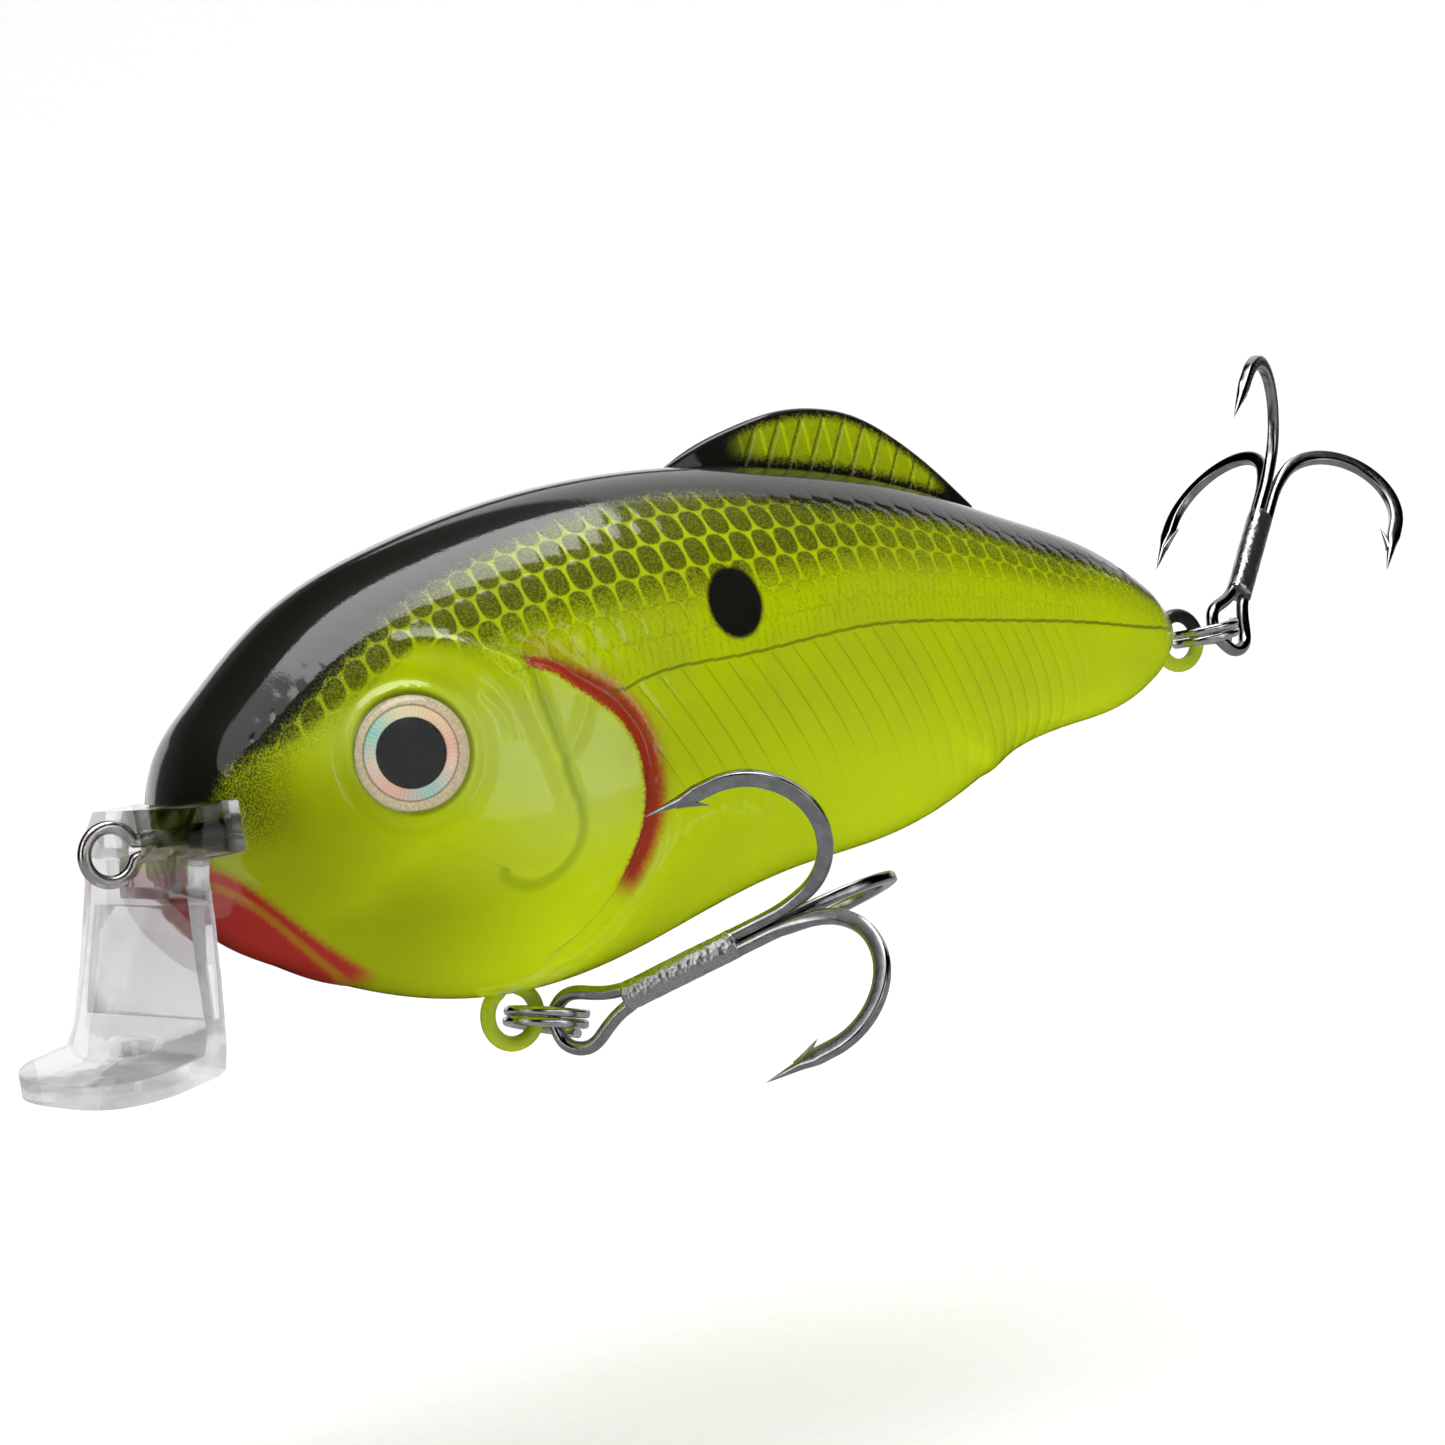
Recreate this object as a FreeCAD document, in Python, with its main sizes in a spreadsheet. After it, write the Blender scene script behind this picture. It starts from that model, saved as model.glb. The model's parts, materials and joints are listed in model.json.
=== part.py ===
"""Hollow shad-shaped crankbait with a clear lip, two split rings and two treble hooks.

Millimetres, +X towards the tail, +Z up, origin at the centre of the line tie's ring.
The fish's left side is -Y. Every driving size is a named cell of the sheet "Dims".
"""
import FreeCAD
import Part
import Sketcher
import math
import os

from FreeCAD import Placement, Rotation, Vector

doc = FreeCAD.newDocument("crankbait")
os.makedirs("parts", exist_ok=True)

DIMENSIONS = [
    ("nose_x", 3.6), ("tail_x", 100.4), ("nose_round", 3.2), ("tail_round", 3.0),
    ("wall", 1.6), ("cavity_front_x", 14.5), ("cavity_rear_x", 86.0), ("bulkhead_thickness", 1.2),
    ("fin_half_thickness", 1.1),
    ("pin_diameter", 2.2), ("pin_length", 2.6), ("pin_clearance", 0.05),
    ("tie_wire", 1.0), ("tie_ring_radius", 1.97), ("tie_bore_radius", 1.5), ("tie_leg_length", 10.0),
    ("hanger_wire", 1.2), ("hanger_ring_radius", 2.17), ("wire_gap", 0.04),
    ("belly_hanger_x", 30.3), ("belly_hanger_z", -18.0), ("belly_leg_length", 11.0),
    ("tail_hanger_x", 101.5), ("tail_hanger_z", 0.1), ("tail_leg_length", 10.0),
    ("ring_wire", 0.76), ("ring_pitch", 0.8), ("belly_ring_radius", 2.95), ("tail_ring_radius", 2.62),
    ("belly_ring_offset", 3.0), ("tail_ring_offset", 3.22), ("belly_ring_droop", 18.0), ("tail_ring_droop", 0.0),
    ("belly_link_angle", -70.0), ("belly_link_slack", 0.85), ("tail_link_slack", 0.9),
    ("hook_wire", 1.1), ("shank_offset", 0.66), ("shank_length", 16.2), ("flare_length", 4.0),
    ("flare_angle", 14.5), ("bend_radius", 5.6), ("bend_angle", 163.5), ("point_length", 5.6),
    ("eye_half_width", 2.15), ("eye_back", 2.5), ("eye_front", 2.7), ("single_start", 4.4),
    ("lip_top_z", 2.7), ("lip_block_rear", 6.3), ("lip_block_low", -0.95), ("lip_foot_thickness", 1.66),
    ("lip_plate_thickness", 1.2), ("lip_boss_half_width", 4.0), ("lip_boss_low", -3.8), ("lip_fit", 0.05),
    ("knocker_diameter", 8.0), ("rattle_diameter", 5.0), ("track_clearance", 0.15), ("track_wall", 1.0),
    ("weight_diameter", 6.8), ("weight_length", 10.0), ("weight_x", 37.0), ("weight_z", -9.0),
    ("eye_x", 19.35), ("eye_y", 11.2), ("eye_z", 3.75), ("eye_yaw", 17.0), ("eye_pitch", 3.0),
    ("socket_radius", 4.2), ("socket_depth", 1.4), ("foil_thickness", 0.35), ("eye_fit", 0.03),
    ("dome_skirt", 0.8), ("dome_height", 1.2),
]

# Side profile of the back and belly, and half width, as (x, value) at hand-picked stations.
BACK = [(4.2, 1.6), (5.2, 4.6), (8.5, 9.4), (15, 14.6), (25, 18.8), (36, 21.0), (47, 21.6),
        (60, 20.4), (72, 17.6), (84, 13.0), (94, 8.3), (99, 4.4)]
BELLY = [(4.2, -3.0), (6, -5.8), (12, -10.6), (20, -14.2), (29, -16.2), (38, -15.7), (47, -13.6),
         (57, -11.7), (67, -10.8), (74, -8.9), (80, -6.5), (88, -5.1), (95, -3.9), (99, -1.8)]
HALF_WIDTH = [(4.2, 4.4), (6, 6.8), (10, 9.0), (18, 11.2), (30, 12.6), (40, 12.8), (56, 11.6),
              (70, 9.4), (84, 6.6), (94, 4.3), (99, 2.6)]
FIN_EDGE = [(50.5, 20.6), (54, 22.4), (58.5, 23.8), (63, 24.6), (67, 24.5), (70.5, 23.6),
            (74.2, 21.4), (78, 18.1), (81.6, 14.2)]
BULKHEADS = [28.0, 48.5, 74.0]
PINS = [(11.5, 8.3), (12.0, -7.2), (90.5, 5.6)]


def make_sheet():
    """Write one row per driving size and give each value an alias."""
    sheet = doc.addObject("Spreadsheet::Sheet", "Dims")
    for row, (name, value) in enumerate(DIMENSIONS, start=1):
        sheet.set("A%d" % row, name)
        sheet.set("B%d" % row, str(value))
        sheet.setAlias("B%d" % row, name)
    doc.recompute()
    return sheet


SHEET = make_sheet()


def size(name):
    """Value of one named cell."""
    return float(SHEET.get(name))


def smooth_curve(points):
    """Natural cubic spline through (x, value) points, returned as a function of x."""
    count = len(points)
    xs = [p[0] for p in points]
    ys = [p[1] for p in points]
    upper = [0.0] * count
    second = [0.0] * count
    for i in range(1, count - 1):
        before = xs[i] - xs[i - 1]
        after = xs[i + 1] - xs[i]
        pivot = 2 * (before + after) - before * upper[i - 1]
        slope = 6 * ((ys[i + 1] - ys[i]) / after - (ys[i] - ys[i - 1]) / before)
        upper[i] = after / pivot
        second[i] = (slope - before * second[i - 1]) / pivot
    for i in range(count - 2, 0, -1):
        second[i] -= upper[i] * second[i + 1]

    def value(x):
        x = min(max(x, xs[0]), xs[-1])
        i = 0
        while i < count - 2 and x > xs[i + 1]:
            i += 1
        width = xs[i + 1] - xs[i]
        a = (xs[i + 1] - x) / width
        b = (x - xs[i]) / width
        bend = ((a ** 3 - a) * second[i] + (b ** 3 - b) * second[i + 1]) * width * width / 6
        return a * ys[i] + b * ys[i + 1] + bend

    return value


back_at = smooth_curve(BACK)
belly_at = smooth_curve(BELLY)
half_width_at = smooth_curve(HALF_WIDTH)


def end_rounding(x):
    """Shrink factor that closes the nose and tail with a quarter round."""
    front = (x - size("nose_x")) / size("nose_round")
    rear = (size("tail_x") - x) / size("tail_round")
    factor = 1.0
    for depth in (front, rear):
        if depth < 1:
            factor *= math.sqrt(max(0.0, 1 - (1 - depth) ** 2))
    return factor


def half_section(x, side, inset):
    """Closed wire of one half cross-section at station x; side is -1 (left) or +1 (right)."""
    top = back_at(x) - inset
    bottom = belly_at(x) + inset
    reach = half_width_at(x) - inset
    waist = bottom + 0.45 * (top - bottom)
    centre = 0.5 * (top + bottom)
    shrink = end_rounding(x)
    steps = 16
    points = []
    for i in range(steps + 1):
        angle = math.pi * i / steps
        cosine = math.cos(angle)
        power = 2 / 2.2 if cosine >= 0 else 2 / 2.05
        height = top - waist if cosine >= 0 else waist - bottom
        z = waist + math.copysign(abs(cosine) ** power, cosine) * height
        y = reach * max(0.0, math.sin(angle)) ** power
        points.append(Vector(x, side * shrink * y, centre + (z - centre) * shrink))
    arc = Part.BSplineCurve()
    outward = Vector(0, side, 0)
    arc.interpolate(Points=points, InitialTangent=outward, FinalTangent=outward * -1)
    seam = Part.makeLine(points[-1], points[0])
    return Part.Wire([arc.toShape(), seam])


def half_body(side, inset, start, end, count):
    """Loft of half cross-sections from start to end, closer together near both ends."""
    wires = []
    for i in range(count):
        blend = (1 - math.cos(math.pi * i / (count - 1))) / 2
        wires.append(half_section(start + (end - start) * blend, side, inset))
    return Part.makeLoft(wires, True, False)


def box(x0, x1, y0, y1, z0, z1):
    """Box between two corners."""
    return Part.makeBox(x1 - x0, y1 - y0, z1 - z0, Vector(x0, y0, z0))


def rod(start, end, radius):
    """Cylinder between two points."""
    axis = end - start
    return Part.makeCylinder(radius, axis.Length, start, axis)


# Ball tracks: name, first x, last x, height of the axis, ball size.
TRACKS = [
    ("rattle_ball_front", size("cavity_front_x") + 0.6, BULKHEADS[0], 10.4, "rattle_diameter"),
    ("rattle_ball_middle", BULKHEADS[0], BULKHEADS[1], 11.6, "rattle_diameter"),
    ("knocker_ball", BULKHEADS[1], BULKHEADS[2], 1.8, "knocker_diameter"),
    ("rattle_ball_rear", BULKHEADS[2], size("cavity_rear_x") - 0.6, 4.4, "rattle_diameter"),
]


def track_ends(first, last):
    """Ends of the open bore between two end walls."""
    wall = size("bulkhead_thickness") / 2
    return first + wall, last - wall


def body_insides(side):
    """Solids left standing in the cavity: bulkheads, ball tracks, hanger block, weight cradle."""
    solids = []
    for x in BULKHEADS:
        wall = size("bulkhead_thickness") / 2
        solids.append(box(x - wall, x + wall, -20, 20, -20, 30))
    for name, first, last, height, ball in TRACKS:
        outer = size(ball) / 2 + size("track_clearance") + size("track_wall")
        solids.append(rod(Vector(first - 1, 0, height), Vector(last + 1, 0, height), outer))
    hanger = size("belly_hanger_x")
    solids.append(box(hanger - 4.6, hanger + 4.6, -3.4, 3.4, -20, -3.6))
    for share in (0.2, 0.8):
        x = size("weight_x") + share * size("weight_length")
        solids.append(box(x - 0.7, x + 0.7, -20, 20, -20, size("weight_z") + 1.5))
    return solids


def wire_hanger(centre, along, leg_length, ring_radius, wire, extra):
    """Ring, inner anchor ring and two legs in the XZ plane; with extra, the room that they need."""
    radius = wire / 2 + extra
    across = along.cross(Vector(0, 1, 0))
    far = centre + along * leg_length
    solid = Part.makeTorus(ring_radius, radius, centre, Vector(0, 1, 0))
    solid = solid.fuse(Part.makeTorus(ring_radius, radius, far, Vector(0, 1, 0)))
    start = centre + along * (ring_radius - 0.15)
    end = far - along * (ring_radius - 0.15)
    spread = wire / 2 + 0.03
    if extra > 0:
        return solid.fuse(rod(start, end, spread + radius))
    for sign in (-1, 1):
        shift = across * (sign * spread)
        solid = solid.fuse(rod(start + shift, end + shift, radius * 0.97))
    return solid


def line_tie_shape(extra):
    return wire_hanger(Vector(0, 0, 0), Vector(1, 0, 0), size("tie_leg_length"),
                       size("tie_ring_radius"), size("tie_wire"), extra)


def belly_hanger_shape(extra):
    centre = Vector(size("belly_hanger_x"), 0, size("belly_hanger_z"))
    return wire_hanger(centre, Vector(0, 0, 1), size("belly_leg_length"),
                       size("hanger_ring_radius"), size("hanger_wire"), extra)


def tail_hanger_shape(extra):
    centre = Vector(size("tail_hanger_x"), 0, size("tail_hanger_z"))
    return wire_hanger(centre, Vector(-1, 0, 0), size("tail_leg_length"),
                       size("hanger_ring_radius"), size("hanger_wire"), extra)


def polygon_prism(points, direction):
    """Extrude a closed polygon or a list of edges' corner points by a vector."""
    wire = Part.makePolygon(points + [points[0]])
    return Part.Face(wire).extrude(direction)


def lip_side_profile():
    """Block, upright plate with flanges, and the foot kicked forward, seen from the side."""
    top = size("lip_top_z")
    rear = size("lip_block_rear")
    low = size("lip_block_low")
    thick = size("lip_foot_thickness")
    return [
        (4.6, top), (3.1, top), (2.3, 1.4), (1.5, -1.9), (0.62, -7.8), (-0.1, -12.6), (-0.7, -13.95),
        (-7.6, -15.2), (-7.6, -15.2 - thick), (0.1, -13.9 - thick), (0.7, -15.2), (1.4, -12.3), (2.2, -9.0),
        (2.9, -5.2), (3.3, -2.2), (3.45, low), (rear, low), (rear, top),
    ]


def lip_blank():
    """Side profile swept across, trimmed by the front outline and the rounded foot outline."""
    side = [Vector(x, -14, z) for x, z in lip_side_profile()]
    solid = polygon_prism(side, Vector(0, 28, 0))
    half = [(8.9, 3.4), (8.8, -0.8), (8.6, -2.4), (9.9, -8.0), (11.6, -13.4), (12.0, -18.6)]
    front = half + [(-y, z) for y, z in reversed(half)]
    solid = solid.common(polygon_prism([Vector(-12, y, z) for y, z in front], Vector(26, 0, 0)))
    plan = Part.BSplineCurve()
    edge = [(-7.05, 0), (-6.9, 4.8), (-6.1, 8.6), (-4.2, 11.3), (-1.6, 12.2), (1.2, 12.3)]
    mirrored = [(x, -y) for x, y in reversed(edge[1:])]
    plan.interpolate([Vector(x, y, -20) for x, y in mirrored + edge])
    ends = [Vector(1.2, 12.3, -20), Vector(16, 12.3, -20), Vector(16, -12.3, -20), Vector(1.2, -12.3, -20)]
    wire = Part.Wire([plan.toShape()] + Part.makePolygon(ends).Edges)
    return solid.common(Part.Face(wire).extrude(Vector(0, 0, 26)))


def lip_tongue(extra):
    """Tongue and the boss below it that sit in the mouth slot; extra widens them to cut the slot."""
    low = size("lip_block_low") + 0.05 - extra
    top = size("lip_top_z") + extra
    corners = [(5.4, -6.2), (8.6, -6.2), (14.0, -5.0), (14.0, 5.0), (8.6, 6.2), (5.4, 6.2)]
    points = []
    for x, y in corners:
        points.append(Vector(x + math.copysign(extra, x - 7), y + math.copysign(extra, y), low))
    wide = size("lip_boss_half_width") + extra
    boss = box(3.2 - extra, 6.0 + extra, -wide, wide, size("lip_boss_low") - extra, 0)
    return polygon_prism(points, Vector(0, 0, top - low)).fuse(boss)


def lip_shape():
    """Clear lip: blank with a thinned middle, tongue, boss, half-disc stop and a wire slot."""
    solid = lip_blank()
    plate = size("lip_plate_thickness")
    hollow = [(1.45 + plate, -4.2), (0.62 + plate, -7.8), (plate, -12.0), (8, -12.0), (8, -4.2)]
    pocket = polygon_prism([Vector(x, -12, z) for x, z in hollow], Vector(0, 24, 0))
    side_cut = polygon_prism([Vector(-12, -8.0, -4.2), Vector(-12, 8.0, -4.2), Vector(-12, 9.8, -12.0),
                              Vector(-12, -9.8, -12.0)], Vector(26, 0, 0))
    solid = solid.cut(pocket.common(side_cut))
    solid = solid.fuse(lip_tongue(0.0))
    stop = rod(Vector(1.5, 0, -14.2), Vector(1.5, 0, -13.1), 3.8)
    solid = solid.fuse(stop.common(box(-4, 0.6, -5, 5, -15, -12)))
    slot = line_tie_shape(size("wire_gap"))
    slot = slot.fuse(box(size("tie_leg_length"), 15, -0.56, 0.56, -2.5, 2.5))
    return solid.cut(slot).removeSplitter()


def lip_clearance():
    """Room the shells leave for the lip: its block, tongue and boss."""
    fit = size("lip_fit")
    solid = lip_tongue(fit)
    return solid.fuse(box(-2, 6.9, -14, 14, size("lip_block_low") - fit, size("lip_top_z") + fit))


def eye_frame(side):
    """Centre on the cheek and outward axis of one eye."""
    yaw = math.radians(size("eye_yaw"))
    pitch = math.radians(size("eye_pitch"))
    outward = Vector(-math.sin(yaw) * math.cos(pitch), side * math.cos(yaw) * math.cos(pitch), math.sin(pitch))
    return Vector(size("eye_x"), side * size("eye_y"), size("eye_z")), outward


def shell_shape(side):
    """One half of the hollow body with its half of the fin, chambers, slots and eye socket."""
    outer = half_body(side, 0.0, size("nose_x") + 0.12, size("tail_x") - 0.12, 25)
    profile = [Vector(x, 0, z) for x, z in FIN_EDGE]
    edge = Part.BSplineCurve()
    edge.interpolate(profile)
    base = Part.makePolygon([profile[-1], Vector(80, 0, 11), Vector(54, 0, 17), profile[0]])
    fin = Part.Face(Part.Wire([edge.toShape()] + base.Edges)).extrude(Vector(0, side * size("fin_half_thickness"), 0))
    solid = outer.fuse(fin)
    cavity = half_body(side, size("wall"), size("cavity_front_x"), size("cavity_rear_x"), 15)
    for inside in body_insides(side):
        cavity = cavity.cut(inside)
    solid = solid.cut(cavity)
    for name, first, last, height, ball in TRACKS:
        start, end = track_ends(first, last)
        bore = size(ball) / 2 + size("track_clearance")
        solid = solid.cut(rod(Vector(start, 0, height), Vector(end, 0, height), bore))
    weight = size("weight_diameter") / 2 + 0.03
    start = Vector(size("weight_x") - 0.05, 0, size("weight_z"))
    solid = solid.cut(rod(start, start + Vector(size("weight_length") + 0.1, 0, 0), weight))
    gap = size("wire_gap")
    for wire in (line_tie_shape(gap), belly_hanger_shape(gap), tail_hanger_shape(gap)):
        solid = solid.cut(wire)
    solid = solid.cut(lip_clearance())
    centre, outward = eye_frame(side)
    floor = centre - outward * size("socket_depth")
    solid = solid.cut(rod(floor, floor + outward * 6, size("socket_radius")))
    for x, z in PINS:
        radius = size("pin_diameter") / 2
        if side < 0:
            solid = solid.fuse(rod(Vector(x, -1, z), Vector(x, size("pin_length"), z), radius))
        else:
            play = size("pin_clearance")
            solid = solid.cut(rod(Vector(x, -1, z), Vector(x, size("pin_length") + play, z), radius + play))
    return solid


def foil_shape(side):
    """Printed iris disc on the socket floor."""
    centre, outward = eye_frame(side)
    low = centre - outward * (size("socket_depth") - size("eye_fit"))
    return rod(low, low + outward * size("foil_thickness"), size("socket_radius") - 0.2)


def dome_shape(side):
    """Clear cap: a short cylinder under a shallow spherical dome."""
    centre, outward = eye_frame(side)
    radius = size("socket_radius") - size("eye_fit")
    low = centre - outward * (size("socket_depth") - size("foil_thickness") - 2 * size("eye_fit"))
    top = low + outward * (size("dome_skirt") + size("dome_height"))
    curve = (radius ** 2 + size("dome_height") ** 2) / (2 * size("dome_height"))
    ball = Part.makeSphere(curve, top - outward * curve)
    return rod(low, top, radius).common(ball)


def hook_axes(direction, eye_normal):
    """Right-handed axes with the shank along local X and the eye's normal along local Y."""
    along = Vector(*direction).normalize()
    normal = Vector(*eye_normal)
    normal = (normal - along * normal.dot(along)).normalize()
    across = along.cross(normal)
    return along, normal, across


def arm_points(angle):
    """Centreline of one arm: shank, flare, round bend and straight point, in local axes."""
    radial = Vector(0, math.cos(angle), math.sin(angle))
    reach = size("shank_offset")
    run = size("shank_length")
    heading = 0.0
    points = [(reach, run)]
    steps = 8
    flare = math.radians(size("flare_angle"))
    for i in range(steps):
        heading += flare / steps
        reach += math.sin(heading) * size("flare_length") / steps
        run += math.cos(heading) * size("flare_length") / steps
        points.append((reach, run))
    steps = 20
    turn = math.radians(size("bend_angle")) / steps
    for i in range(steps):
        heading += turn
        reach += math.sin(heading) * size("bend_radius") * turn
        run += math.cos(heading) * size("bend_radius") * turn
        points.append((reach, run))
    forward = Vector(math.cos(heading), 0, 0) + radial * math.sin(heading)
    return [Vector(a, 0, 0) + radial * r for r, a in points], forward, radial


def swept_wire(path, start, direction, radius):
    """Round wire swept along a path."""
    circle = Part.Wire([Part.makeCircle(radius, start, direction)])
    return Part.Wire(path).makePipeShell([circle], True, False)


def arm_solid(angle, start_run):
    """One arm from start_run along the shank to its sharpened point, with a barb."""
    points, forward, radial = arm_points(angle)
    radius = size("hook_wire") / 2
    start = Vector(start_run, 0, 0) + radial * size("shank_offset")
    curve = Part.BSplineCurve()
    curve.interpolate(Points=points, InitialTangent=Vector(1, 0, 0), FinalTangent=forward)
    solid = swept_wire([Part.makeLine(start, points[0]), curve.toShape()], start, Vector(1, 0, 0), radius)
    end = points[-1]
    length = size("point_length")
    solid = solid.fuse(rod(end, end + forward * (length * 0.3), radius))
    tip = end + forward * (length * 0.3)
    solid = solid.fuse(Part.makeCone(radius, 0.06, length * 0.7, tip, forward))
    root = end + forward * (length * 0.5) - radial * (radius * 0.55)
    barb = Part.makeCone(0.42, 0.05, 2.0, root, forward * -1 - radial * 0.55)
    return solid.fuse(barb)


def eye_loop():
    """Rounded triangular eye of the double hook, in the local XZ plane."""
    width = size("eye_half_width")
    neck = size("shank_offset") * 0.95
    front = size("eye_front")
    back = -size("eye_back")
    half = [(front + 1.2, neck), (front, neck + 0.25), (front - 1.6, width * 0.72), (front - 3.2, width),
            (back + 0.9, width * 0.86), (back + 0.1, width * 0.42)]
    mirrored = [(a, -w) for a, w in reversed(half)]
    points = [Vector(a, 0, w) for a, w in half + [(back, 0)] + mirrored]
    curve = Part.BSplineCurve()
    curve.interpolate(Points=points, InitialTangent=Vector(-1, 0, 0), FinalTangent=Vector(1, 0, 0))
    return swept_wire([curve.toShape()], points[0], Vector(-1, 0, 0), size("hook_wire") / 2)


def double_hook_shape():
    """Double hook bent from one wire: eye, twin shank and two arms."""
    solid = eye_loop()
    for angle in (math.radians(120), math.radians(240)):
        solid = solid.fuse(arm_solid(angle, size("eye_front") + 0.9))
    return solid


def single_hook_shape():
    """Third hook, cut short below the eye and brazed along the twin shank."""
    return arm_solid(0.0, size("single_start"))


def placed_hook(shape, link, direction, eye_normal, slack):
    """Move a hook from its local axes so that the ring's wire runs through its eye."""
    along, normal, across = hook_axes(direction, eye_normal)
    centre = link + along * slack
    matrix = FreeCAD.Matrix(along.x, normal.x, across.x, centre.x,
                            along.y, normal.y, across.y, centre.y,
                            along.z, normal.z, across.z, centre.z, 0, 0, 0, 1)
    moved = shape.copy()
    moved.Placement = Placement(matrix)
    return moved


def split_ring_shape(radius):
    """Two close turns of spring wire, axis along local Z, centred on its own middle."""
    turns = 1.94
    steps = 48
    points = []
    for i in range(steps + 1):
        angle = 2 * math.pi * turns * i / steps
        height = size("ring_pitch") * turns * (i / steps - 0.5)
        points.append(Vector(radius * math.cos(angle), radius * math.sin(angle), height))
    coil = Part.BSplineCurve()
    coil.interpolate(points)
    return swept_wire([coil.toShape()], points[0], coil.tangent(coil.FirstParameter)[0], size("ring_wire") / 2)


def add_shape(name, shape):
    """Plain document object holding a computed shape."""
    item = doc.addObject("Part::Feature", name)
    item.Label = name
    item.Shape = shape
    return item


def add_ball(name, first, last, height, ball):
    """Ball centred in its track."""
    item = doc.addObject("Part::Sphere", name)
    item.Label = name
    item.setExpression("Radius", "Dims.%s / 2" % ball)
    item.Placement = Placement(Vector((first + last) / 2, 0, height), Rotation())
    return item


def add_weight():
    """Chamfered ballast slug, padded from a sketched circle."""
    body = doc.addObject("PartDesign::Body", "keel_weight")
    body.Label = "keel_weight"
    sketch = body.newObject("Sketcher::SketchObject", "weight_circle")
    plane = [f for f in body.Origin.OriginFeatures if f.Role == "YZ_Plane"][0]
    sketch.AttachmentSupport = [(plane, "")]
    sketch.MapMode = "FlatFace"
    sketch.addGeometry(Part.Circle(Vector(0, 0, 0), Vector(0, 0, 1), 3.0), False)
    sketch.addConstraint(Sketcher.Constraint("Coincident", 0, 3, -1, 1))
    index = sketch.addConstraint(Sketcher.Constraint("Diameter", 0, 6.0))
    sketch.renameConstraint(index, "diameter")
    sketch.setExpression("Constraints.diameter", "Dims.weight_diameter")
    doc.recompute()
    pad = body.newObject("PartDesign::Pad", "weight_pad")
    pad.Profile = sketch
    pad.setExpression("Length", "Dims.weight_length")
    doc.recompute()
    chamfer = body.newObject("PartDesign::Chamfer", "weight_chamfer")
    chamfer.Base = (pad, ["Face%d" % (i + 1) for i, f in enumerate(pad.Shape.Faces)
                          if f.Surface.TypeId == "Part::GeomPlane"])
    chamfer.Size = 0.6
    doc.recompute()
    body.Placement = Placement(Vector(size("weight_x"), 0, size("weight_z")), Rotation())
    return body


def add_line_tie():
    """Line tie with a short coined land inside its ring for the knot or snap to bear on."""
    shape = line_tie_shape(0.0)
    land = rod(Vector(0, -1, 0), Vector(0, 1, 0), size("tie_bore_radius"))
    return add_shape("line_tie", shape.cut(land))


# How each hook lies: shank direction and eye normal.
BELLY_SHANK = (0.606, -0.729, 0.318)
BELLY_EYE = (0.787, 0.607, -0.110)
TAIL_SHANK = (0.697, 0.337, 0.632)
TAIL_EYE = (-0.219, 0.941, -0.260)


def ring_place(name):
    """Centre and tilt of a split ring whose wire runs through its hanger's ring."""
    hanger = Vector(size(name + "_hanger_x"), 0, size(name + "_hanger_z"))
    lean = Rotation(Vector(0, 1, 0), size(name + "_ring_droop"))
    return hanger + lean.multVec(Vector(size(name + "_ring_offset"), 0, 0)), lean


def build():
    """Make every sub-part."""
    items = [
        add_shape("body_shell_left", shell_shape(-1)),
        add_shape("body_shell_right", shell_shape(1)),
        add_shape("diving_lip", lip_shape()),
        add_line_tie(),
        add_shape("belly_hook_hanger", belly_hanger_shape(0.0)),
        add_shape("tail_hook_hanger", tail_hanger_shape(0.0)),
        add_shape("left_eye_foil", foil_shape(-1)),
        add_shape("left_eye_dome", dome_shape(-1)),
        add_shape("right_eye_foil", foil_shape(1)),
        add_shape("right_eye_dome", dome_shape(1)),
        add_weight(),
    ]
    for name, first, last, height, ball in TRACKS:
        items.append(add_ball(name, first, last, height, ball))
    belly_centre, belly_lean = ring_place("belly")
    tail_centre, tail_lean = ring_place("tail")
    for name, centre, lean in (("belly", belly_centre, belly_lean), ("tail", tail_centre, tail_lean)):
        ring = add_shape(name + "_split_ring", split_ring_shape(size(name + "_ring_radius")))
        ring.Placement = Placement(centre, lean)
        items.append(ring)
    around = math.radians(size("belly_link_angle"))
    reach = size("belly_ring_radius")
    belly_link = belly_centre + belly_lean.multVec(Vector(reach * math.cos(around), reach * math.sin(around), 0))
    tail_link = tail_centre + Vector(size("tail_ring_radius"), 0, 0)
    hooks = [("belly", belly_link, BELLY_SHANK, BELLY_EYE), ("tail", tail_link, TAIL_SHANK, TAIL_EYE)]
    double = double_hook_shape()
    single = single_hook_shape()
    for name, link, shank, eye in hooks:
        slack = size(name + "_link_slack")
        items.append(add_shape(name + "_treble_double", placed_hook(double, link, shank, eye, slack)))
        items.append(add_shape(name + "_treble_single", placed_hook(single, link, shank, eye, slack)))
    doc.recompute()
    return items


def export(items):
    """Refuse a broken object, then write one STEP file per sub-part."""
    for item in items:
        if "Invalid" in item.State or "Error" in item.State:
            raise RuntimeError("%s is %s" % (item.Label, item.State))
        shape = item.Shape
        if shape.isNull() or not shape.isValid():
            raise RuntimeError("%s has a bad shape" % item.Label)
        print(item.Label, len(shape.Solids), round(shape.Volume, 1), shape.BoundBox)
        shape.exportStep("parts/%s.step" % item.Label)


export(build())
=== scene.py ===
import json
import math

import bmesh
import bpy
import numpy as np
from mathutils import Matrix, Vector

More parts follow.
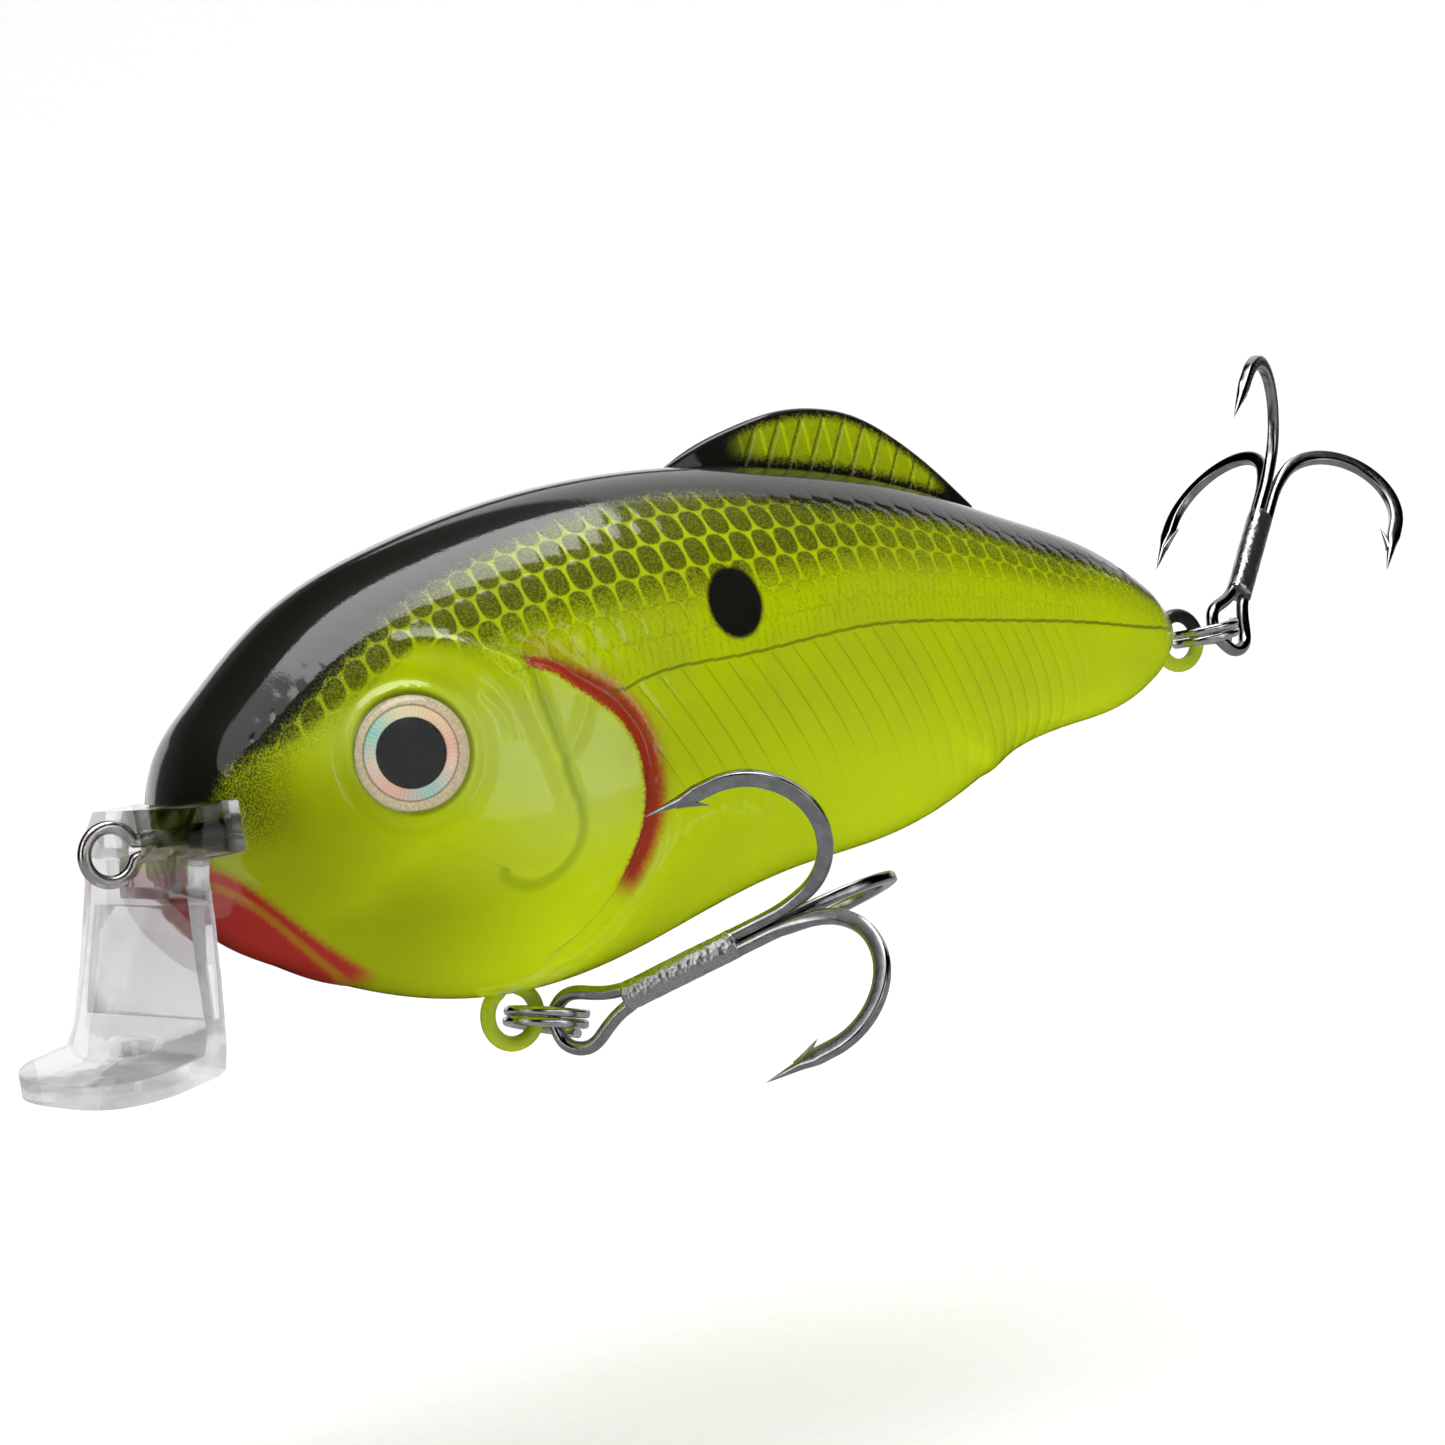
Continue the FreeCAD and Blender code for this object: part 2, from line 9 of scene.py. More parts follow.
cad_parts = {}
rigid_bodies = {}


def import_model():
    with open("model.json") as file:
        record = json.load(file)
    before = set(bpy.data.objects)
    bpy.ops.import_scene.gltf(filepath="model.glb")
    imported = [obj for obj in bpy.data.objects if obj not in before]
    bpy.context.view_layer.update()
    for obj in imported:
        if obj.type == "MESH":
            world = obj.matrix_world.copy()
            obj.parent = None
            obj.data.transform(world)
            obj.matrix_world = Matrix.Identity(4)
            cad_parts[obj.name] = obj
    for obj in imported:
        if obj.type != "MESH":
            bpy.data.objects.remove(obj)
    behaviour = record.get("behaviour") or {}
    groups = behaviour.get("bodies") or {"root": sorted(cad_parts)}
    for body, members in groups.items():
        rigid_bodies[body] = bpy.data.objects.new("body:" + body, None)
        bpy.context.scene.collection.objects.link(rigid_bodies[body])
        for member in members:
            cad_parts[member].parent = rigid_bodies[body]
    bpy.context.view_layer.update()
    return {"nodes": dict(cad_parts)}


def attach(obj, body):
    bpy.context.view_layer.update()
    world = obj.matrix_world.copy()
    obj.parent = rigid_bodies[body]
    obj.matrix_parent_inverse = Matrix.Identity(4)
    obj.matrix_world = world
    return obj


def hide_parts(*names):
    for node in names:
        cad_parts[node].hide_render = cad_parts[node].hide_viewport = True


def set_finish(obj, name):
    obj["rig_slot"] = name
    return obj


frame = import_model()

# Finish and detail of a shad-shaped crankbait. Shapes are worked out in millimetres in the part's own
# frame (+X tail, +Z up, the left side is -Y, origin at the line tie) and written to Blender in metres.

MM = 0.001

NOSE_X, TAIL_X = 3.6, 100.4
SECTION_X = (4.2, 99)  # ends of the curves that give the body's sections
WAIST = 0.45  # height of the widest line, as a share of the depth
UPPER_POWER, LOWER_POWER = 2.2, 2.05  # superellipse powers above and below it
NOSE_ROUND, TAIL_ROUND = 3.2, 3.0
EYE_SPOT = np.array([19.35, 11.2, 3.75])
EYE_YAW, EYE_PITCH = math.radians(17), math.radians(3)
SOCKET_RADIUS, SOCKET_DEPTH = 4.2, 1.4
WALL = 1.6
TRACK_X, TRACK_Z, TRACK_RADIUS = (14.9, 27.0), 10.4, 2.7  # the front rattle's run
SHARP, WIRE_SHARP = math.radians(32), math.radians(40)


# Curves and fields

def spline(points):
    """Natural cubic spline through (x, value) points, as a function of an array."""
    xs, ys = np.array(points, float).T
    gaps = np.diff(xs)
    last = len(xs) - 1
    matrix = np.eye(len(xs))
    right = np.zeros(len(xs))
    for i in range(1, last):
        matrix[i, i - 1:i + 2] = gaps[i - 1], 2 * (gaps[i - 1] + gaps[i]), gaps[i]
        right[i] = 6 * ((ys[i + 1] - ys[i]) / gaps[i] - (ys[i] - ys[i - 1]) / gaps[i - 1])
    second = np.linalg.solve(matrix, right)

    def value(x):
        x = np.clip(x, xs[0], xs[-1])
        i = np.clip(np.searchsorted(xs, x) - 1, 0, last - 1)
        a = (xs[i + 1] - x) / gaps[i]
        b = 1 - a
        bend = ((a ** 3 - a) * second[i] + (b ** 3 - b) * second[i + 1]) * gaps[i] ** 2 / 6
        return a * ys[i] + b * ys[i + 1] + bend

    return value


def path_curve(points, count=160):
    """Smooth plane curve through points, spaced by chord length, as an array of samples."""
    points = np.array(points, float)
    chord = np.concatenate([[0], np.cumsum(np.linalg.norm(np.diff(points, axis=0), axis=1))])
    at = np.linspace(0, chord[-1], count)
    columns = [spline(list(zip(chord, points[:, k])))(at) for k in range(points.shape[1])]
    return np.stack(columns, axis=1)


def near_curve(curve, spots):
    """Distance from each spot to a sampled plane curve, its side of the curve, and how far along."""
    steps = np.diff(curve, axis=0)
    lengths = (steps ** 2).sum(1)
    best = np.full(len(spots), 1e9)
    side = np.zeros(len(spots))
    along = np.zeros(len(spots))
    for i, step in enumerate(steps):
        offset = spots - curve[i]
        share = np.clip((offset @ step) / lengths[i], 0, 1)
        gap = offset - share[:, None] * step
        distance = np.hypot(gap[:, 0], gap[:, 1])
        nearer = distance < best
        best = np.where(nearer, distance, best)
        cross = step[0] * offset[:, 1] - step[1] * offset[:, 0]
        side = np.where(nearer, np.sign(cross), side)
        along = np.where(nearer, (i + share) / len(steps), along)
    return best, side, along


def smooth(value, low, high):
    """Smooth step from 0 at low to 1 at high."""
    share = np.clip((value - low) / (high - low), 0, 1)
    return share * share * (3 - 2 * share)


def bell(value, width):
    """Bump of height 1 at 0 that dies away over width."""
    return np.exp(-(value / width) ** 2)


# Body surface

back_at = spline([(4.2, 1.6), (5.2, 4.6), (8.5, 9.4), (15, 14.6), (25, 18.8), (36, 21.0), (47, 21.6),
                  (60, 20.4), (72, 17.6), (84, 13.0), (94, 8.3), (99, 4.4)])
belly_at = spline([(4.2, -3.0), (6, -5.8), (12, -10.6), (20, -14.2), (29, -16.2), (38, -15.7),
                   (47, -13.6), (57, -11.7), (67, -10.8), (74, -8.9), (80, -6.5), (88, -5.1),
                   (95, -3.9), (99, -1.8)])
half_width_at = spline([(4.2, 4.4), (6, 6.8), (10, 9.0), (18, 11.2), (30, 12.6), (40, 12.8),
                        (56, 11.6), (70, 9.4), (84, 6.6), (94, 4.3), (99, 2.6)])


def end_rounding(x):
    """Shrink factor that closes the nose and the tail."""
    front = np.clip((x - NOSE_X) / NOSE_ROUND, 0, 1)
    rear = np.clip((TAIL_X - x) / TAIL_ROUND, 0, 1)
    return np.sqrt((1 - (1 - front) ** 2) * (1 - (1 - rear) ** 2))


def levels(x, inset=0.0):
    """Heights of a section's top, bottom, waist and middle."""
    top = back_at(x) - inset
    bottom = belly_at(x) + inset
    return top, bottom, bottom + WAIST * (top - bottom), 0.5 * (top + bottom)


def section(x, turn, inset=0.0):
    """Half section: (y, z) at station x and angle turn, 0 at the back and pi at the belly."""
    top, bottom, waist, centre = levels(x, inset)
    cosine = np.cos(turn)
    power = np.where(cosine >= 0, 2 / UPPER_POWER, 2 / LOWER_POWER)
    height = np.where(cosine >= 0, top - waist, waist - bottom)
    z = waist + np.sign(cosine) * np.abs(cosine) ** power * height
    y = (half_width_at(x) - inset) * np.clip(np.sin(turn), 0, 1) ** power
    factor = end_rounding(x)
    return y * factor, centre + (z - centre) * factor


def girth_table():
    """Arc length from the back, over a grid of stations and angles."""
    stations = np.linspace(*SECTION_X, 240)
    turns = np.linspace(0, math.pi, 181)
    y, z = section(stations[:, None], turns[None, :])
    steps = np.hypot(np.diff(y, axis=1), np.diff(z, axis=1))
    girth = np.concatenate([np.zeros((len(stations), 1)), np.cumsum(steps, axis=1)], axis=1)
    return stations, turns, girth


STATIONS, TURNS, GIRTH = girth_table()


def girth_at(x, turn):
    """Arc length down from the back, read from the table."""
    i = np.clip((x - STATIONS[0]) / (STATIONS[1] - STATIONS[0]), 0, len(STATIONS) - 1.001)
    j = np.clip(turn / (TURNS[1] - TURNS[0]), 0, len(TURNS) - 1.001)
    i0, j0 = i.astype(int), j.astype(int)
    a, b = i - i0, j - j0
    upper, lower = (GIRTH[k, j0] * (1 - b) + GIRTH[k, j0 + 1] * b for k in (i0, i0 + 1))
    return upper * (1 - a) + lower * a


def turn_of(points):
    """Angle round the section of points on or near the surface."""
    x, y, z = points.T
    x = np.clip(x, *SECTION_X)
    top, bottom, waist, centre = levels(x)
    factor = np.clip(end_rounding(x), 0.05, 1)
    rise = centre + (z - centre) / factor - waist
    height = np.where(rise >= 0, top - waist, waist - bottom)
    power = np.where(rise >= 0, UPPER_POWER, LOWER_POWER) / 2
    cosine = np.sign(rise) * np.abs(rise / height) ** power
    sine = np.abs(y / factor / half_width_at(x)) ** power
    return np.arctan2(sine, cosine)


# Fish markings as plane curves in (x, z), seen from the side.
MARKS = {
    "gill": [(21.0, 12.4), (24.3, 11.5), (27.4, 9.5), (29.3, 8.5), (31.2, 7.7), (33.0, 6.1),
             (34.9, 4.5), (36.2, 2.8), (36.95, 0.7), (37.1, -1.5), (36.8, -4.0), (35.8, -6.5),
             (34.3, -8.9), (32.0, -11.3), (29.0, -13.4)],
    "ridge": [(28.7, 8.2), (29.16, 5.4), (29.65, 2.8), (30.1, 0.45), (30.6, -1.9), (30.8, -3.6),
              (30.2, -5.1), (29.0, -6.1), (27.4, -6.5), (26.0, -6.0)],
    "branch": [(33.6, 5.4), (33.0, 4.3), (32.2, 3.0), (31.0, 1.75), (30.0, 0.9)],
    "plate": [(21.5, 11.2), (23.6, 10.7), (25.5, 9.7), (27.0, 8.0), (27.95, 6.0), (28.4, 3.7),
              (28.6, 1.8)],
    "crescent": [(25.7, 6.6), (26.4, 5.9), (26.85, 5.0), (26.8, 3.9)],
    "jaw": [(3.8, -1.8), (6.6, -4.4), (9.8, -7.5), (13.2, -10.5), (16.5, -13.0)],
    "mouth": [(3.6, -0.3), (6.3, -2.9), (9.4, -6.0), (13.2, -9.3), (17.5, -12.4)],
    "vent": [(68.5, -2.6), (72.0, -4.2), (76.0, -6.4), (79.5, -8.4)],
}
MARKS = {word: path_curve(points) for word, points in MARKS.items()}

lateral_z = spline([(37.0, 5.5), (38.6, 5.95), (47.1, 6.38), (55.9, 6.69), (61.8, 6.75), (68.3, 6.17),
                    (78.4, 4.79), (86.9, 3.5), (95.3, 1.94), (99, 1.4)])
scale_pitch = spline([(4, 1.9), (30, 1.93), (43, 2.13), (55, 2.2), (68, 2.05), (80, 1.8), (99, 1.4)])
row_size = spline([(4, 0.78), (24, 0.92), (34, 0.97), (42, 1.0), (50, 0.985), (56, 0.94), (61, 0.87),
                   (68, 0.8), (78, 0.665), (87, 0.53), (95, 0.36), (99, 0.26)])
black_depth = spline([(4, 6.2), (6.2, 7.4), (8.4, 8.8), (11, 9.8), (14, 10.2), (18, 9.9), (24, 9.2),
                      (32, 8.3), (40, 7.7), (48, 7.5), (56.5, 8.6), (66.6, 8.5), (77.5, 7.3), (87, 6.2),
                      (95, 4.3), (99, 3.2)])
ROW_HEIGHT, ROW_START = 2.45, 0.173
FIRST_SCALE_X, FIRST_SCALE_GIRTH = 40.37, 13.05
COLUMN_LEAN, COLUMN_START = 0.08 / 2.1, 20
SCALE_HALF = (0.45, 0.53)  # half length and height of a scale's oval, in columns and rows
SCALE_POWER = 2.6
GROOVE_SLANT = 0.235  # columns that a slanted groove moves per millimetre down
SPOT_X, SPOT_Z, SPOT_LEAN = 48.62, 10.35, math.radians(18)
SPOT_HALF = (2.78, 2.5)
COLUMN_XS = np.linspace(0, 104, 521)
COLUMNS = np.concatenate([[0], np.cumsum(np.diff(COLUMN_XS) / scale_pitch(COLUMN_XS[1:]))])


def scale_grid(x, girth):
    """Scale coordinates: columns along the fish and rows down from the back."""
    column = np.interp(x, COLUMN_XS, COLUMNS) - np.interp(FIRST_SCALE_X, COLUMN_XS, COLUMNS)
    column = column - COLUMN_LEAN * (girth - FIRST_SCALE_GIRTH)
    return column + COLUMN_START, girth / (row_size(x) * ROW_HEIGHT) + ROW_START


def scale_cell(column, row):
    """Distance from the centre of the nearest scale, 1 at the rim of its oval."""
    index = np.floor(row)
    reaches = []
    for k in (index, index + np.sign(row - index - 0.5)):
        dx = np.mod(column + 0.5 * np.mod(k, 2), 1) - 0.5
        offset = (np.abs(dx) / SCALE_HALF[0], np.abs(row - k - 0.5) / SCALE_HALF[1])
        reaches.append(offset[0] ** SCALE_POWER + offset[1] ** SCALE_POWER)
    return np.minimum(*reaches)


def eye_axis(side):
    """Centre and outward axis of one eye; side is -1 for the left."""
    out = [-math.sin(EYE_YAW) * math.cos(EYE_PITCH), side * math.cos(EYE_YAW) * math.cos(EYE_PITCH),
           math.sin(EYE_PITCH)]
    return EYE_SPOT * [1, side, 1], np.array(out)


def body_fields(points, side):
    """Named fields that both the relief and the paint are worked out from."""
    x, _, z = points.T
    girth = girth_at(np.clip(x, *SECTION_X), turn_of(points))
    column, row = scale_grid(x, girth)
    centre, axis = eye_axis(side)
    offset = points - centre
    depth = offset @ axis
    eye = np.linalg.norm(offset - depth[:, None] * axis, axis=1)
    spot_x = x - SPOT_X
    spot_z = z - SPOT_Z
    long_way = spot_z * math.cos(SPOT_LEAN) + spot_x * math.sin(SPOT_LEAN)
    short_way = spot_x * math.cos(SPOT_LEAN) - spot_z * math.sin(SPOT_LEAN)
    fields = {
        "column": column,
        "row": row,
        "eye": np.where(depth > -6, eye, 40),
        "lateral": lateral_z(x) - z,
        "black": black_depth(x) - girth,
        "spot": np.hypot(long_way / SPOT_HALF[0], short_way / SPOT_HALF[1]),
    }
    for word, curve in MARKS.items():
        distance, curve_side, fields[word + "_along"] = near_curve(curve, points[:, [0, 2]])
        fields[word] = distance * curve_side
    fields["flank"] = flank_share(x, z, fields)
    fields["behind"] = smooth(fields["gill"], 0.6, 1.6) * (x > 30)
    return fields


def flank_share(x, z, fields):
    """1 behind the gill cover, 0 on the head below the forehead."""
    behind = smooth(fields["gill"], 0.3, 1.3)
    above = smooth(fields["plate"], -0.2, 0.8) * (x < 30) * (x > 21)
    forehead = smooth(z - np.interp(x, [6, 14, 22], [2.5, 6.6, 10.6]), 0.0, 1.5) * (x <= 22)
    return np.clip(np.maximum.reduce([behind * (x > 20), above, forehead]), 0, 1)


def relief(points, fields):
    """Moulded detail as a height above the smooth body, in mm."""
    x = points[:, 0]
    gill = fields["gill"]
    fade_in = smooth(fields["gill_along"], 0.02, 0.22) * (1 - smooth(fields["gill_along"], 0.9, 1.0))
    raised = np.where(gill < 0, np.exp(np.minimum(gill, 0) / 5.0), 1 - smooth(gill, 0, 0.55))
    height = 0.42 * raised * fade_in
    height -= 0.2 * bell(gill - 0.95, 0.55) * fade_in
    height += 0.24 * bell(fields["ridge"], 0.6) * (1 - smooth(fields["ridge_along"], 0.85, 1.0))
    height -= 0.09 * bell(fields["ridge"] - 1.05, 0.4)
    height += 0.2 * bell(fields["branch"], 0.5)
    edge = 1 - smooth(fields["plate_along"], 0.75, 1.0)
    height += 0.18 * bell(fields["plate"] - 0.45, 0.5) * edge
    height -= 0.1 * bell(fields["plate"] + 0.35, 0.4) * edge
    height -= 0.16 * bell(fields["crescent"], 0.4)
    eye = fields["eye"]
    height += 0.2 * bell(eye - 4.66, 0.34)
    height -= 0.14 * bell(eye - 5.55, 0.42)
    height -= 0.16 * bell(fields["mouth"], 0.3) * (1 - smooth(fields["mouth_along"], 0.5, 0.9))
    height += 0.22 * bell(fields["jaw"], 0.5) * (1 - smooth(x, 14, 19))
    height += 0.45 * smooth(fields["vent"], -1.6, 0.2) * bell(fields["vent"] - 0.3, 1.6) \
        * bell(fields["vent_along"] - 0.45, 0.4)
    lateral = fields["lateral"]
    flank = fields["flank"]
    behind = fields["behind"]
    step = np.mod(fields["column"], 1)
    line = lateral + 0.08 * (step - 0.5)
    height -= 0.12 * bell(line, 0.16) * behind
    height += 0.07 * smooth(line, -0.5, -0.1) * (1 - smooth(line, -0.1, 0.05)) * behind
    upper = 1 - smooth(lateral, -0.9, -0.3)
    row = fields["row"]
    dome = np.clip(1 - 0.75 * scale_cell(fields["column"], row), -0.4, 1)
    presence = smooth(row, 3.0, 4.6) * (1 - smooth(row, 7.6, 8.8)) * (1 - smooth(x, 90, 97))
    height += 0.055 * (dome - 0.35) * presence * upper * flank * smooth(eye, 5.6, 6.4)
    slanted = fields["column"] - GROOVE_SLANT * lateral
    groove = bell(np.mod(slanted, 1) - 0.5, 0.1)
    below = smooth(lateral, 0.1, 0.5) * (1 - smooth(lateral, 9.0, 15.0)) * behind * (1 - smooth(x, 80, 92))
    height -= 0.065 * groove * below
    return height


# Mesh helpers

def mesh_object(name, verts, faces, smooth_angle=SHARP):
    """Object from millimetre vertices, linked to the scene and shaded smooth up to an angle."""
    mesh = bpy.data.meshes.new(name)
    mesh.from_pydata((np.asarray(verts, float) * MM).tolist(), [], [list(map(int, f)) for f in faces])
    obj = bpy.data.objects.new(name, mesh)
    bpy.context.scene.collection.objects.link(obj)
    tidy_normals(mesh, smooth_angle)
    return obj


def tidy_normals(mesh, smooth_angle=SHARP):
    """Make face sides agree, then shade smooth with sharp edges kept."""
    tool = bmesh.new()
    tool.from_mesh(mesh)
    bmesh.ops.recalc_face_normals(tool, faces=tool.faces)
    tool.to_mesh(mesh)
    tool.free()
    mesh.shade_smooth()
    mesh.set_sharp_from_angle(angle=smooth_angle)


def grid_faces(rows, columns, wrap=False):
    """Quads of a grid stored row by row."""
    faces = []
    for i in range(rows - 1):
        for j in range(columns if wrap else columns - 1):
            a = i * columns + j
            b = i * columns + (j + 1) % columns
            faces.append((a, b, b + columns, a + columns))
    return faces


def join(name, objects):
    """Several objects as one, in the order given."""
    for obj in bpy.context.selected_objects:
        obj.select_set(False)
    for obj in objects:
        obj.select_set(True)
    bpy.context.view_layer.objects.active = objects[0]
    bpy.ops.object.join()
    objects[0].name = name
    return objects[0]


def carve(obj, cutters):
    """Cut solids out of obj for good and drop the cutters."""
    for cutter in cutters:
        change = obj.modifiers.new("cut", "BOOLEAN")
        change.operation = "DIFFERENCE"
        change.solver = "EXACT"
        change.object = cutter
    bake_modifiers(obj)
    for cutter in cutters:
        bpy.data.objects.remove(cutter)


def bake_modifiers(obj):
    """Replace the mesh by the one that the modifiers give."""
    bpy.context.view_layer.update()
    graph = bpy.context.evaluated_depsgraph_get()
    mesh = bpy.data.meshes.new_from_object(obj.evaluated_get(graph))
    obj.modifiers.clear()
    obj.data = mesh


def points_of(obj):
    """Vertices in millimetres."""
    spots = np.zeros(len(obj.data.vertices) * 3)
    obj.data.vertices.foreach_get("co", spots)
    return spots.reshape(-1, 3) / MM


def move_points(obj, spots):
    """Put the vertices at new places in millimetres."""
    obj.data.vertices.foreach_set("co", (spots * MM).ravel())
    obj.data.update()
    tidy_normals(obj.data, WIRE_SHARP)


def put_field(obj, name, values):
    """Store one number per vertex for the material to read."""
    attribute = obj.data.attributes.get(name) or obj.data.attributes.new(name, "FLOAT", "POINT")
    attribute.data.foreach_set("value", np.asarray(values, np.float32))


def frame_of(axis):
    """Two unit vectors square to an axis."""
    axis = np.array(axis, float) / np.linalg.norm(axis)
    aside = np.cross(axis, [0, 0, 1] if abs(axis[2]) < 0.9 else [1, 0, 0])
    aside /= np.linalg.norm(aside)
    return aside, np.cross(axis, aside), axis


def lathe(name, profile, centre, axis, count=96):
    """Turn a (radius, height) profile about an axis; ends with zero radius close as fans."""
    across, up, out = frame_of(axis)
    verts = []
    faces = []
    rings = []
    for radius, height in profile:
        if radius < 1e-6:
            rings.append([len(verts)])
            verts.append(centre + out * height)
            continue
        rings.append(list(range(len(verts), len(verts) + count)))
        for k in range(count):
            angle = 2 * math.pi * k / count
            verts.append(centre + out * height + radius * (across * math.cos(angle) + up * math.sin(angle)))
    for a, b in zip(rings, rings[1:]):
        for k in range(count):
            n = (k + 1) % count
            if len(a) == 1:
                faces.append((a[0], b[k], b[n]))
            elif len(b) == 1:
                faces.append((a[k], a[n], b[0]))
            else:
                faces.append((a[k], a[n], b[n], b[k]))
    return mesh_object(name, verts, faces)


def capped_tube(name, rings, smooth_angle=SHARP):
    """Solid from equal rings of vertices, with a face over each end."""
    count, sides = rings.shape[:2]
    faces = grid_faces(count, sides, wrap=True)
    faces.append(tuple(range(sides))[::-1])
    faces.append(tuple(range((count - 1) * sides, count * sides)))
    return mesh_object(name, rings.reshape(-1, 3), faces, smooth_angle)


def prism(name, outline, low, high, axis):
    """Extrude a closed outline along x, y or z; the outline lists the other two coordinates."""
    rings = [np.insert(np.array(outline, float), axis, level, axis=1) for level in (low, high)]
    return capped_tube(name, np.array(rings))


def sweep(name, path, size_in, size_across, flatness, out_hint, sides):
    """Tube along a path: half sizes in and across the bend plane and a superellipse power per point."""
    path = np.array(path, float)
    count = len(path)
    tangent = np.gradient(path, axis=0)
    tangent /= np.linalg.norm(tangent, axis=1)[:, None]
    across = np.cross(tangent, np.broadcast_to(np.array(out_hint, float), path.shape))
    across /= np.linalg.norm(across, axis=1)[:, None]
    inward = np.cross(across, tangent)
    angle = 2 * math.pi * (np.arange(sides) + 0.5) / sides
    power = (2 / np.broadcast_to(flatness, count))[:, None]
    rings = path[:, None, :]
    for wave, size, way in ((np.cos(angle), size_in, inward), (np.sin(angle), size_across, across)):
        offset = np.sign(wave) * np.abs(wave) ** power * np.broadcast_to(size, count)[:, None]
        rings = rings + offset[:, :, None] * way[:, None, :]
    return capped_tube(name, rings, WIRE_SHARP)


# Body halves

LENGTHWISE, AROUND = 470, 172


def skin_stations():
    """Stations from nose to tail, a little closer together at both ends."""
    share = np.linspace(0, 1, LENGTHWISE)
    share = 0.72 * share + 0.28 * (1 - np.cos(math.pi * share)) / 2
    return NOSE_X + 0.01 + (TAIL_X - NOSE_X - 0.02) * share


def outer_points(side):
    """Relief-carrying outside of one half, as a grid of stations by angles."""
    xs, turns = np.meshgrid(skin_stations(), np.linspace(0, math.pi, AROUND), indexing="ij")
    y, z = section(xs, turns)
    base = np.stack([xs, side * y, z], axis=2)
    along = np.gradient(base, axis=0)
    around = np.gradient(base, axis=1)
    normal = np.cross(along, around) * side
    normal /= np.linalg.norm(normal, axis=2)[:, :, None] + 1e-12
    normal *= np.sign(normal[LENGTHWISE // 2, AROUND // 2, 1] * side)
    flat = base.reshape(-1, 3)
    height = relief(flat, body_fields(flat, side)).reshape(LENGTHWISE, AROUND)
    taper = smooth(xs, NOSE_X, NOSE_X + 3) * (1 - smooth(xs, TAIL_X - 2.5, TAIL_X))
    spots = base + normal * (height * taper)[:, :, None]
    spots[:, [0, -1], 1] = 0
    return spots


def cavity(side):
    """Cutter for the hollow of one half, reaching a little past the seam."""
    x = np.linspace(15.5, 87, 60)
    inset = WALL + 1.8 * (1 - smooth(x, 26, 34))
    xs, turns = np.meshgrid(x, np.linspace(0, math.pi, 24), indexing="ij")
    y, z = section(xs, turns, inset[:, None])
    y[:, [0, -1]] = -0.5
    return capped_tube("cavity", np.stack([xs, side * y, z], axis=2))


FIN_EDGE = path_curve([(50.6, 20.9), (54.3, 22.6), (58.5, 23.8), (63, 24.55), (67, 24.35), (70.5, 23.4),
                       (74.2, 21.2), (78, 18.0), (81.4, 14.5)])
FIN_BASE = path_curve([(54.2, 17.6), (60, 17.4), (67, 16.2), (74, 13.8), (79.6, 11.6)])
FIN_THICKNESS = 1.1
RAY_LEAN, RAY_GAP, FIRST_RAY = 0.62, 2.28, 40
PAINT_FIELDS = ("column", "row", "gill", "gill_along", "eye", "lateral", "black", "spot", "jaw", "mouth",
                "ridge", "flank", "behind", "fin", "ray", "rim", "rise")


def fin_ray(x, z):
    """Position across the fin's rays, one whole number per ray."""
    return (x - RAY_LEAN * (z - 18.0)) / RAY_GAP


def fin_half(name, side):
    """Half of the dorsal fin: a thin leaf with stepped rays and a rounded rim."""
    share = np.linspace(0, 1, 56) ** 0.8
    flat = FIN_BASE[:, None, :] + (FIN_EDGE - FIN_BASE)[:, None, :] * share[None, :, None]
    rim = np.linalg.norm(FIN_EDGE[:, None, :] - flat, axis=2)
    x, z = flat[:, :, 0], flat[:, :, 1]
    ends = np.minimum(np.linspace(0, 1, len(x)), np.linspace(1, 0, len(x)))[:, None]
    body = 0.3 + (FIN_THICKNESS - 0.3) * (1 - share[None, :]) ** 0.7
    body = body * (0.45 + 0.55 * smooth(ends, 0, 0.12))
    round_off = np.sqrt(np.clip(1 - (1 - np.clip(rim / 0.45, 0, 1)) ** 2, 0, 1))
    phase = np.mod(fin_ray(x, z), 1)
    step = 0.16 * (phase - 0.5) - 0.1 * bell(phase - 0.03, 0.06) - 0.1 * bell(phase - 0.97, 0.05)
    inside = smooth(rim, 0.5, 1.3) * smooth(x, 56, 60) * (1 - smooth(x, 77, 80))
    thickness = np.clip(body * round_off + step * inside, 0.02, None)
    outside = np.stack([x, side * thickness, z], axis=2)
    seam = np.stack([x, np.zeros_like(x), z], axis=2)
    return capped_tube(name, np.concatenate([outside, seam[:, ::-1]], axis=1))


def rectangle(left, right, low, high):
    return [(left, low), (right, low), (right, high), (left, high)]


def tongue_outline(extra):
    """Plan outline of the lip's tongue, grown by extra."""
    corners = [(5.4, -6.2), (8.6, -6.2), (14.0, -5.0), (14.0, 5.0), (8.6, 6.2), (5.4, 6.2)]
    return [(x + math.copysign(extra, x - 7), y + math.copysign(extra, y)) for x, y in corners]


